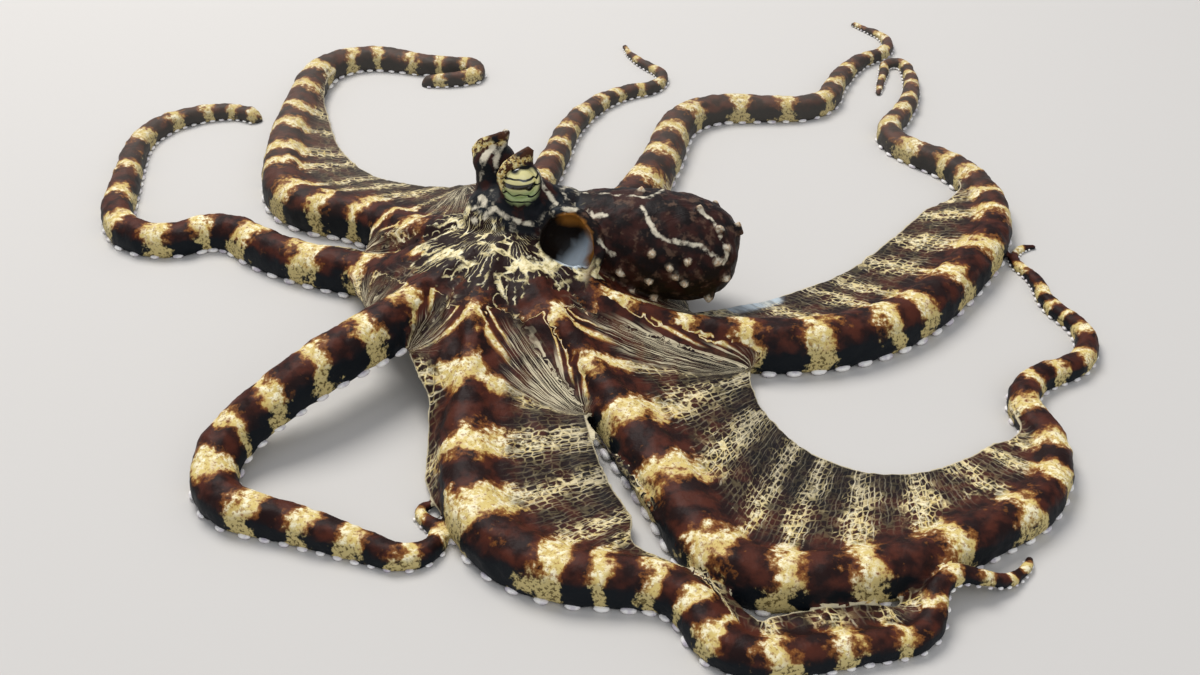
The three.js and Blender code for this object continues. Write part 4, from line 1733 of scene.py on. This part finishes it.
class SkinPattern:
    """The sums behind the skin's colours: the marks that it reads, and the noises that they share."""

    def __init__(self, tree: bpy.types.NodeTree, finish: OctopusSkin) -> None:
        """Reads the skin's attributes and makes the shared noises.

        Args:
            tree: The material's tree.
            finish: The colours.
        """
        self.finish = finish
        self.add = add = partial(add_node, tree)
        self.place = place = add("VectorMath", add("TexCoord", out=3), 1.0 / MM, operation="SCALE")
        names = ("skin_run", "skin_mark", "skin_part", "skin_line", "skin_spot", "skin_hollow")
        marks = [add("Attribute", out=1, attribute_name=name) for name in names]
        reads = [add("SeparateXYZ", mark, out=slice(3)) for mark in marks]
        (self.fan, self.across, self.phase), (self.web_share, self.wall, self.crown_share) = reads[:2]
        (self.mantle, self.head, self.turret), (self.line, self.lid, self.edge) = reads[2:4]
        (self.hood, self.cone, self.bare), (self.hollow, self.blue, self.rim) = reads[4:]
        # Band edges wander a little, as the chromatophore patches do: 6 mm and 1.6 mm grain.
        self.broad = add("TexNoise", place, 1 / 6.0, 2.0)
        self.fine = add("TexNoise", place, 1 / 1.6, 3.0, 0.65)
        self.speck = add("TexNoise", place, 1 / 0.75, 2.0, 0.6)
        self.blotch = add("TexNoise", place, 1 / 4.5, 3.0)
        self.drawn = add("MapRange", self.edge, Sheet.NO_EDGE, 2 * Sheet.NO_EDGE)
        wander = add("Math", add("Math", self.broad, 0.5, **LESS), 0.75, **TIMES)
        ragged = add("Math", add("Math", self.fine, 0.5, **LESS), 0.5, **TIMES)
        held = add("MapRange", self.drawn, 0.0, 0.4, 1.0, 0.15)
        sway = add("Math", add("Math", wander, ragged, **PLUS), held, **TIMES)
        swayed = add("Math", self.phase, sway, **PLUS)
        self.band = band = add("Math", swayed, 0.5, **WAVE)
        self.begun = add("MapRange", self.phase, -0.6, -0.2, **EASED)
        self.pale = add("Math", add("MapRange", band, 0.14, 0.22, 1.0, 0.0, **EASED), self.begun, **TIMES)
        lit = add("MapRange", self.blotch, 0.38, 0.66, **EASED)
        self.brown = add("Mix", lit, finish.brown, finish.brown_lit, **RGBA)
        # Cream is brightest in the middle of a band and golden at its edges, with brown specks.
        bright = add("MapRange", self.fine, 0.42, 0.66, **EASED)
        cream = add("Mix", bright, finish.cream, finish.cream_bright, **RGBA)
        self.plain = add("Mix", bright, finish.cream_light, finish.cream_bright, **RGBA)
        golden = add("Math", add("MapRange", band, 0.07, 0.17, **EASED), 0.7, **TIMES)
        cream = add("Mix", golden, cream, finish.gold, **RGBA)
        specks = add("MapRange", self.speck, 0.55, 0.65, 0.0, 0.6, **EASED)
        self.cream = add("Mix", specks, cream, finish.fringe, **RGBA)
        # Thin bright threads run out along the web, 2 mm apart, and meet at the notches.
        swing = add("Math", add("Math", add("TexNoise", place, 1 / 4.5, 2.0), 0.5, **LESS), 1.6, **TIMES)
        weave = add("Math", add("Math", add("Math", self.fan, 2.0, **OVER), swing, **PLUS), 0.5, **WAVE)
        along = add("CombineXYZ", add("Math", self.fan, 3.0, **OVER), add("Math", self.across, 16.0, **OVER))
        self.drift = add("TexNoise", along, 1.0, 2.0)
        shown = add("MapRange", self.drift, 0.42, 0.58, **EASED)
        even = add("Math", add("MapRange", weave, 0.05, 0.15, 1.0, 0.0, **EASED), shown, **TIMES)
        # Before a notch they are uneven, and run together towards it.
        fan, across = add("Math", self.fan, 2.4, **OVER), add("Math", self.across, 22.0, **OVER)
        along = add("CombineXYZ", fan, across, 3.0)
        ridge = add("Math", add("Math", add("TexNoise", along, 1.0, 2.0, 0.55), 0.5, **LESS), **SIZE)
        uneven = add("MapRange", ridge, 0.012, 0.042, 1.0, 0.0, **EASED)
        self.thread = add("Mix", self.drawn, even, uneven)

    def arm(self) -> Socket:
        """The arms: brown and cream bands with an orange fringe, with painted shade on their steep walls that
        turns the brown blue-black and the cream dull.

        Returns:
            The colour.
        """
        add, finish, band = self.add, self.finish, self.band
        rise = add("MapRange", band, 0.12, 0.19, **EASED)
        fringe = add("Math", rise, add("MapRange", band, 0.2, 0.3, 0.65, 0.0, **EASED), **TIMES)
        fringe = add("Math", fringe, self.begun, **TIMES)
        back = add("Mix", self.pale, self.brown, self.cream, **RGBA)
        back = add("Mix", fringe, back, finish.fringe, **RGBA)
        # Painted shade on the steep walls: blue-black for the brown, dull cream with olive specks for the
        # pale bands.
        specks = add("MapRange", self.speck, 0.5, 0.62, **EASED)
        side = add("Mix", specks, finish.wall_cream, finish.wall_olive, **RGBA)
        side = add("Mix", self.pale, finish.wall_black, side, **RGBA)
        free = add("Math", 1.0, self.web_share, **LESS)
        return add("Mix", add("Math", self.wall, free, **TIMES), back, side, **RGBA)

    def web(self, surface: Socket) -> Socket:
        """The webs over the arms: dark, with threads, rows of dots, the ends of the pale bands and a painted
        reflection behind the mantle.

        Args:
            surface: The colour under them.

        Returns:
            The colour with them.
        """
        add, finish, band = self.add, self.finish, self.band
        # Rows of dark dots, 2 mm across, leave a net of cream between them.
        rows = add("CombineXYZ", add("Math", self.fan, 1.9, **OVER), add("Math", self.across, 2.3, **OVER))
        cells = add("TexVoronoi", rows, 1.0, 0.0, 0.5, 2.0, 0.6, **EDGES)
        net = add("MapRange", cells, 0.03, 0.14, 1.0, 0.0, **EASED)
        near = add("Math", add("MapRange", band, 0.08, 0.36, 1.0, 0.0, **EASED), self.begun, **TIMES)
        loose = add("Math", 1.0, self.drawn, **LESS)
        near = add("Math", near, loose, **TIMES)
        outward = add("MapRange", add("Math", self.across, **SIZE), 12.0, 34.0, **EASED)
        fan, across = add("Math", self.fan, 3.6, **OVER), add("Math", self.across, 20.0, **OVER)
        long = add("CombineXYZ", fan, across, 7.0)
        soft = add("MapRange", add("TexNoise", long, 1.0, 2.0), 0.35, 0.65, **EASED)
        base = add("Mix", soft, finish.web_dark, finish.web_slate, **RGBA)
        base = add("Mix", add("Math", outward, 0.5, **TIMES), base, finish.web_edge, **RGBA)
        base = add("Mix", add("MapRange", outward, 0.0, 1.0, 0.75, 0.1, **EASED), base, self.brown, **RGBA)
        # The net shows most where a pale band meets the web, and fades towards the free edge.
        netted = add("Math", add("MapRange", near, 0.0, 1.0, 0.09, 0.9), net, **TIMES)
        netted = add("Math", netted, add("MapRange", outward, 0.3, 1.0, 1.0, 0.4, **EASED), **TIMES)
        netted = add("Math", netted, add("MapRange", self.fine, 0.3, 0.55, **EASED), **TIMES)
        lit = add("Mix", netted, base, finish.web_cream, **RGBA)
        outer = add("MapRange", self.web_share, 0.35, 1.0, **EASED)
        faint = add("Math", outer, add("MapRange", self.drawn, 0.0, 1.0, 0.15, 0.85), **TIMES)
        bright = add("Math", self.thread, add("MapRange", near, 0.0, 1.0, faint, 0.8), **TIMES)
        lit = add("Mix", bright, lit, finish.web_streak, **RGBA)
        broken = add("Math", add("MapRange", self.fine, 0.42, 0.58, 0.0, 0.8, **EASED), net, **MOST)
        stripe = add("Math", add("MapRange", band, 0.02, 0.13, 1.0, 0.0, **EASED), self.begun, **TIMES)
        stripe = add("Math", stripe, add("MapRange", outward, 0.2, 1.0, 0.85, 0.45, **EASED), **TIMES)
        stripe = add("Math", stripe, loose, **TIMES)
        cream = add("Mix", outward, self.cream, finish.web_streak, **RGBA)
        lit = add("Mix", add("Math", stripe, broken, **TIMES), lit, cream, **RGBA)
        # Next to an arm the bands run on, broken up by blotches.
        broken = add("Math", broken, add("MapRange", self.blotch, 0.4, 0.54, 0.3, 1.0, **EASED), **TIMES)
        broken = add("Math", add("Math", self.pale, broken, **TIMES), loose, **TIMES)
        inner = add("Mix", broken, self.brown, self.cream, **RGBA)
        threaded = add("MapRange", add("Math", near, self.drawn, **MOST), 0.0, 1.0, 0.05, 0.8)
        inner = add("Mix", add("Math", self.thread, threaded, **TIMES), inner, finish.web_streak, **RGBA)
        lit = add("Mix", add("MapRange", self.web_share, 0.3, 1.0, **EASED), inner, lit, **RGBA)
        surface = add("Mix", add("MapRange", self.web_share, 0.05, 0.45, **EASED), surface, lit, **RGBA)
        # Free edges end in a thin pale rim, 0.6 mm wide.
        rim = add("MapRange", self.edge, 0.3, 0.8, 0.8, 0.0, **EASED)
        surface = add("Mix", rim, surface, finish.web_streak, **RGBA)
        # Painted reflection: the blue-white patch behind the mantle.
        bare = add("Math", self.bare, add("MapRange", self.drift, 0.4, 0.6, 0.5, 0.95), **TIMES)
        return add("Mix", bare, surface, finish.bare_blue, **RGBA)

    def crown(self, surface: Socket, middle: Pair) -> Socket:
        """The crown over the webs: dark patches drawn out from its middle, with cream and rays between them.

        Args:
            surface: The colour under them.
            middle: The middle of the crown in the row frame, in mm.

        Returns:
            The colour with them.
        """
        add = self.add
        x, y, _ = add("SeparateXYZ", self.place, out=slice(3))
        dx, dy = (add("Math", centre, value, **LESS) for centre, value in zip(middle, (x, y)))
        turn = add("Math", dy, dx, operation="ARCTAN2")
        away = add("Math", add("Math", dx, dx, **TIMES), add("Math", dy, dy, **TIMES), **PLUS)
        away = add("Math", away, operation="SQRT")
        depth = add("Math", away, math.e, operation="LOGARITHM")
        drawn = add("CombineXYZ", add("Math", turn, 0.36, **OVER), add("Math", depth, 0.4, **OVER))
        shift = add("Math", add("Math", self.broad, 0.5, **LESS), 0.7, **TIMES)
        drawn = add("VectorMath", drawn, add("CombineXYZ", shift, shift), operation="ADD")
        cells = add("TexVoronoi", drawn, 1.0, 0.0, 0.5, 2.0, 1.0, **EDGES)
        ragged = add("Math", add("Math", self.fine, 0.5, **LESS), 0.3, **TIMES)
        wide = add("Math", add("Math", add("TexNoise", drawn, 0.8, 1.0), 0.5, **LESS), 0.8, **TIMES)
        cells = add("Math", add("Math", cells, wide, **LESS), ragged, **PLUS)
        open_cream = add("MapRange", cells, -0.02, 0.06, 1.0, 0.0, **EASED)
        swing = add("Math", add("Math", self.blotch, 0.5, **LESS), 3.0, **TIMES)
        rays = add("Math", add("Math", add("Math", turn, 0.085, **OVER), swing, **PLUS), 0.5, **WAVE)
        ray = add("MapRange", rays, 0.05, 0.13, 0.7, 0.0, **EASED)
        ray = add("Math", ray, add("MapRange", self.blotch, 0.42, 0.56, **EASED), **TIMES)
        banded = add("Math", add("MapRange", self.band, 0.05, 0.14, 1.0, 0.0, **EASED), self.begun, **TIMES)
        banded = add("Math", banded, add("MapRange", self.broad, 0.44, 0.54, **EASED), **TIMES)
        speckled = add("MapRange", self.fine, 0.3, 0.48, 0.2, 1.0)
        creamy = add("Math", add("Math", open_cream, banded, **MOST), speckled, **TIMES)
        creamy = add("Math", creamy, ray, **MOST)
        noisy = add("Math", add("Math", self.broad, 0.5, **LESS), 24.0, **TIMES)
        spread = add("MapRange", add("Math", away, noisy, **PLUS), 19.0, 29.0, 1.0, 0.0, **EASED)
        share = add("MapRange", add("Math", self.crown_share, spread, **MOST), 0.4, 0.6, **EASED)
        return add("Mix", share, surface, add("Mix", creamy, self.finish.brown, self.plain, **RGBA), **RGBA)

    def body(self, surface: Socket) -> Socket:
        """The mantle, head and turrets over the rest: near black with red-brown blotches and white lines,
        with painted shade and light in the aperture and painted haze on the far parts.

        Args:
            surface: The colour under them.

        Returns:
            The colour with them.
        """
        add, finish = self.add, self.finish
        _, y, z = add("SeparateXYZ", self.place, out=slice(3))
        dark = add("MapRange", self.blotch, 0.43, 0.64, **EASED)
        dark = add("Mix", dark, finish.mantle_dark, finish.mantle_red, **RGBA)
        spread = add("MapRange", self.fine, 0.35, 0.6, 0.3, 0.9)
        low = add("Math", add("MapRange", z, 12.0, 21.0, 1.0, 0.0), spread, **TIMES)
        dark = add("Mix", low, dark, finish.mantle_olive, **RGBA)
        # Pale mottling in soft patches, 3 mm across.
        mottle = add("TexNoise", self.place, 1 / 3.0, 3.0, 0.6)
        mottle = add("MapRange", mottle, 0.53, 0.68, 0.0, 0.6, **EASED)
        surface = add("Mix", self.mantle, surface, add("Mix", mottle, dark, finish.mottle, **RGBA), **RGBA)
        head = add("Mix", add("MapRange", self.blotch, 0.45, 0.6), finish.skirt_blue, finish.slate, **RGBA)
        head = add("Mix", mottle, head, finish.line_white, **RGBA)
        surface = add("Mix", self.head, surface, head, **RGBA)
        turret = add("MapRange", self.blotch, 0.5, 0.62)
        turret = add("Mix", turret, finish.skirt_blue, finish.mantle_red, **RGBA)
        surface = add("Mix", self.turret, surface, turret, **RGBA)
        striped = EyeSurface().stripes(add, self.place)
        surface = add("Mix", self.lid, surface, striped, **RGBA)
        browed = add("Mix", add("MapRange", self.speck, 0.42, 0.6), finish.brow, finish.brow_light, **RGBA)
        browed = add("Mix", add("MapRange", self.fine, 0.47, 0.56, **EASED), browed, finish.brow_spot, **RGBA)
        browed = add("Mix", add("MapRange", z, 44.6, 45.6), browed, finish.brow_spot, **RGBA)
        hood = add("Math", self.hood, add("MapRange", self.blotch, 0.34, 0.46, **EASED), **TIMES)
        surface = add("Mix", hood, surface, browed, **RGBA)
        tips = add("Mix", add("MapRange", self.speck, 0.4, 0.6), finish.cone, finish.line_white, **RGBA)
        cone = add("Math", self.cone, add("MapRange", self.fine, 0.3, 0.5, 0.5, 1.0), **TIMES)
        surface = add("Mix", cone, surface, tips, **RGBA)
        rough = add("Math", add("Math", add("Math", self.fine, 0.5, **LESS), 1.5, **TIMES), self.line, **PLUS)
        white = add("MapRange", rough, -0.2, 0.45, 0.92, 0.0, **EASED)
        white = add("Math", white, add("MapRange", self.blotch, 0.33, 0.45, 0.65, 1.0, **EASED), **TIMES)
        surface = add("Mix", white, surface, finish.line_white, **RGBA)
        # Inside the aperture: painted shade, a painted pale-blue lit crescent, and a brown rim.
        inside = add("Mix", self.blue, finish.hollow_shade, finish.hollow_lit_blue, **RGBA)
        inside = add("Mix", self.rim, inside, finish.hollow_brown, **RGBA)
        surface = add("Mix", self.hollow, surface, inside, **RGBA)
        # Painted haze: the far arms are painted paler and greyer.
        return add("Mix", add("MapRange", y, 0.0, 62.0, 0.0, 0.2), surface, finish.painted_haze, **RGBA)

    def relief(self) -> Socket:
        """Fine relief: 1.6 mm wrinkles and the ridges of the threads.

        Returns:
            The surface's direction.
        """
        add = self.add
        ridges = add("Math", add("Math", self.thread, self.web_share, **TIMES), 0.35, **TIMES)
        height = add("Math", add("Math", self.fine, 0.6, **TIMES), ridges, **PLUS)
        return add("Bump", 0.5, 0.0006, 1.0, height)


@dataclass(frozen=True)
class SuckerFlesh:
    """Wet white flesh of the sucker rims, with a faint violet tint in patches."""

    white: str = "#fbf8f4"
    tint: str = "#c6bdc9"

    def build(self) -> Material:
        """Makes the material.

        Returns:
            The material.
        """
        material, tree, shader = new_material("sucker_flesh", Roughness=0.4)
        add = partial(add_node, tree)
        grain = add("TexNoise", add("TexCoord", out=3), 1.0 / (2.0 * MM), 2.0)
        tint = add("Mix", add("MapRange", grain, 0.45, 0.7), self.white, self.tint, **RGBA)
        tree.links.new(tint, shader.inputs["Base Color"])
        tree.links.new(add("Bump", 0.3, 0.0003, 1.0, grain), shader.inputs["Normal"])
        return material


@dataclass(frozen=True)
class EyeSurface:
    """A wet eye: cream-green and black stripes lie level across it, with the dark slit of the pupil, and
    painted shade darkens its top under the brow.
    """

    pale: str = "#aebd84"
    bright: str = "#f4eaa6"
    dark: str = "#0a0d0d"
    stripe: float = 2.1  # mm from stripe to stripe
    pupil: float = 0.55  # half height of the pupil's slit, in mm

    def stripes(self, add: Callable[..., Socket], place: Socket) -> Socket:
        """The striped colour, by height above the floor, so that eye and lid match, painted dark near the top
        as shade under the brow.

        Args:
            add: Adds a node to the tree.
            place: Places in mm.

        Returns:
            The colour.
        """
        height = add("SeparateXYZ", place, out=slice(3))[2]
        swayed = add("Math", add("TexNoise", place, 0.25, 1.0), 3.2, height, operation="MULTIPLY_ADD")
        wave = add("Math", swayed, self.stripe / 2, **WAVE)
        share = add("MapRange", wave, 0.2, 0.36, **EASED)
        # Painted shade: near the top the stripes give way to dark, as shade under the brow.
        share = add("Math", share, add("MapRange", swayed, 43.2, 43.8, 1.0, 0.0), **TIMES)
        pale = add("Mix", add("MapRange", height, 36.5, 39.5), self.pale, self.bright, **RGBA)
        return add("Mix", share, self.dark, pale, **RGBA)

    def build(self, eye: Eye) -> Material:
        """Makes the material for one eye.

        Args:
            eye: The eye.

        Returns:
            The material.
        """
        name = f"eye_surface_{eye.name}"
        material, tree, shader = new_material(name, Roughness=0.12, Coat_Weight=0.6, Coat_Roughness=0.05)
        add = partial(add_node, tree)
        place = add("VectorMath", add("TexCoord", out=3), 1.0 / MM, operation="SCALE")
        height = add("SeparateXYZ", place, out=slice(3))[2]
        level = add("Math", add("Math", height, eye.centre[2] + 0.6, **LESS), **SIZE)
        slit = add("MapRange", level, self.pupil, self.pupil + 0.2, 1.0, 0.0)
        striped = add("Mix", slit, self.stripes(add, place), self.dark, **RGBA)
        tree.links.new(striped, shader.inputs["Base Color"])
        return material


# ---- studio
@dataclass(frozen=True)
class Studio:
    """Floor, lamps, world and camera, with places in metres but for the camera's, in mm from the crown."""

    floor_size: float = 12.0
    below: float = 0.00002  # keeps the floor clear of the model
    floor_colour: str = "#cecbc7"
    target: Triple = (0, 0, 0.02)  # what the lamps point at
    world_colour: tuple = (0.9, 0.93, 1.0, 1)
    world_strength: float = 0.45
    camera_place: Triple = (25.3, -315.1, 220.0)
    pitch: float = 35.0  # degrees below level
    view: float = 45.0  # degrees across
    sensor: float = 36.0  # mm

    def build(self) -> None:
        """Makes the floor, the lamps, the world and the camera."""
        self.floor()
        self.lamps()
        self.world()
        self.camera()
        log.info("studio built")

    def floor(self) -> None:
        """A plain pale floor."""
        bpy.ops.object.select_all(action="DESELECT")
        bpy.ops.mesh.primitive_plane_add(size=self.floor_size, location=(0, 0, -self.below))
        floor = bpy.context.object
        floor.name = floor.data.name = "floor"
        settle(floor)
        material, _, shader = new_material("studio_floor", Roughness=0.9)
        shader.inputs["Base Color"].default_value = colour(self.floor_colour)
        floor.data.materials.append(material)

    def lamp(self, name: str, place: Triple, size: float, power: float, tint: Triple) -> None:
        """A soft area lamp that points at the crown.

        Args:
            name: Its name.
            place: Where it hangs, in metres.
            size: Its width in metres.
            power: Its power in watts.
            tint: Its colour.
        """
        light = bpy.data.lights.new(name, "AREA")
        light.shape = "DISK"
        light.size = size
        light.energy = power
        light.color = tint
        lamp = bpy.data.objects.new(name, light)
        bpy.context.scene.collection.objects.link(lamp)
        lamp.location = place
        lamp.rotation_euler = (Vector(self.target) - Vector(place)).to_track_quat("-Z", "Y").to_euler()

    def lamps(self) -> None:
        """A large soft key from behind and above, and a dim fill from the front."""
        self.lamp("key", (-0.35, 0.55, 1.1), 0.7, 14.0, (1.0, 0.98, 0.95))
        self.lamp("fill", (0.5, -1.1, 0.9), 1.4, 5.0, (0.95, 0.98, 1.0))

    def world(self) -> None:
        """Even, faintly blue light from all sides."""
        world = bpy.data.worlds.new("studio_world")
        bpy.context.scene.world = world
        world.use_nodes = True
        background = world.node_tree.nodes["Background"]
        background.inputs["Color"].default_value = self.world_colour
        background.inputs["Strength"].default_value = self.world_strength

    def camera(self) -> None:
        """The camera, looking down at the animal."""
        data = bpy.data.cameras.new("camera")
        data.sensor_width = self.sensor
        data.lens = self.sensor / 2 / math.tan(math.radians(self.view / 2))
        camera = bpy.data.objects.new("camera", data)
        bpy.context.scene.collection.objects.link(camera)
        camera.location = to_metres(self.camera_place)
        camera.rotation_euler = (math.radians(90 - self.pitch), 0, 0)
        bpy.context.scene.camera = camera
        bpy.context.scene.view_settings.view_transform = "Standard"


def eye_ball(eye: Eye) -> Object:
    """One eye, set deep in its lid.

    Args:
        eye: The eye.

    Returns:
        The ball.
    """
    piece = ball(f"eyeball_{eye.name}", eye.centre, (eye.radius,) * 3, 48)
    only(piece)
    bpy.ops.object.shade_smooth()
    return piece


def main() -> None:
    """Builds the octopus and the studio."""
    logging.basicConfig(level=logging.INFO, format="%(message)s")
    skin_maker = Skin()
    skin = skin_maker.build()
    sources = [tube.source() for tube in skin_maker.tubes]
    sources += [half.source() for web in skin_maker.webs for half in web.halves]
    sources += [fin.sheet.source() for fin in skin_maker.fins]
    sources += skin_maker.crown.sources()
    Marks(sources).dress(skin, skin_maker.body)
    log.info("skin marked")
    skin.data.materials.clear()
    middle = np.array(skin_maker.crown.middle) + row_frame_shift()
    skin.data.materials.append(OctopusSkin().build(tuple(middle[:2])))
    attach(skin, "root")
    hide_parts(*[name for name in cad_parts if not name.startswith("eye_")])
    suckers = Suckers().build()
    suckers.data.materials.append(SuckerFlesh().build())
    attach(suckers, "root")
    for eye in EYES:
        piece = eye_ball(eye)
        piece.data.materials.append(EyeSurface().build(eye))
        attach(piece, "root")
        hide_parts(f"eye_{eye.name}")
        log.info("eye_%s built", eye.name)
    Studio().build()


if __name__ == "__main__":
    main()
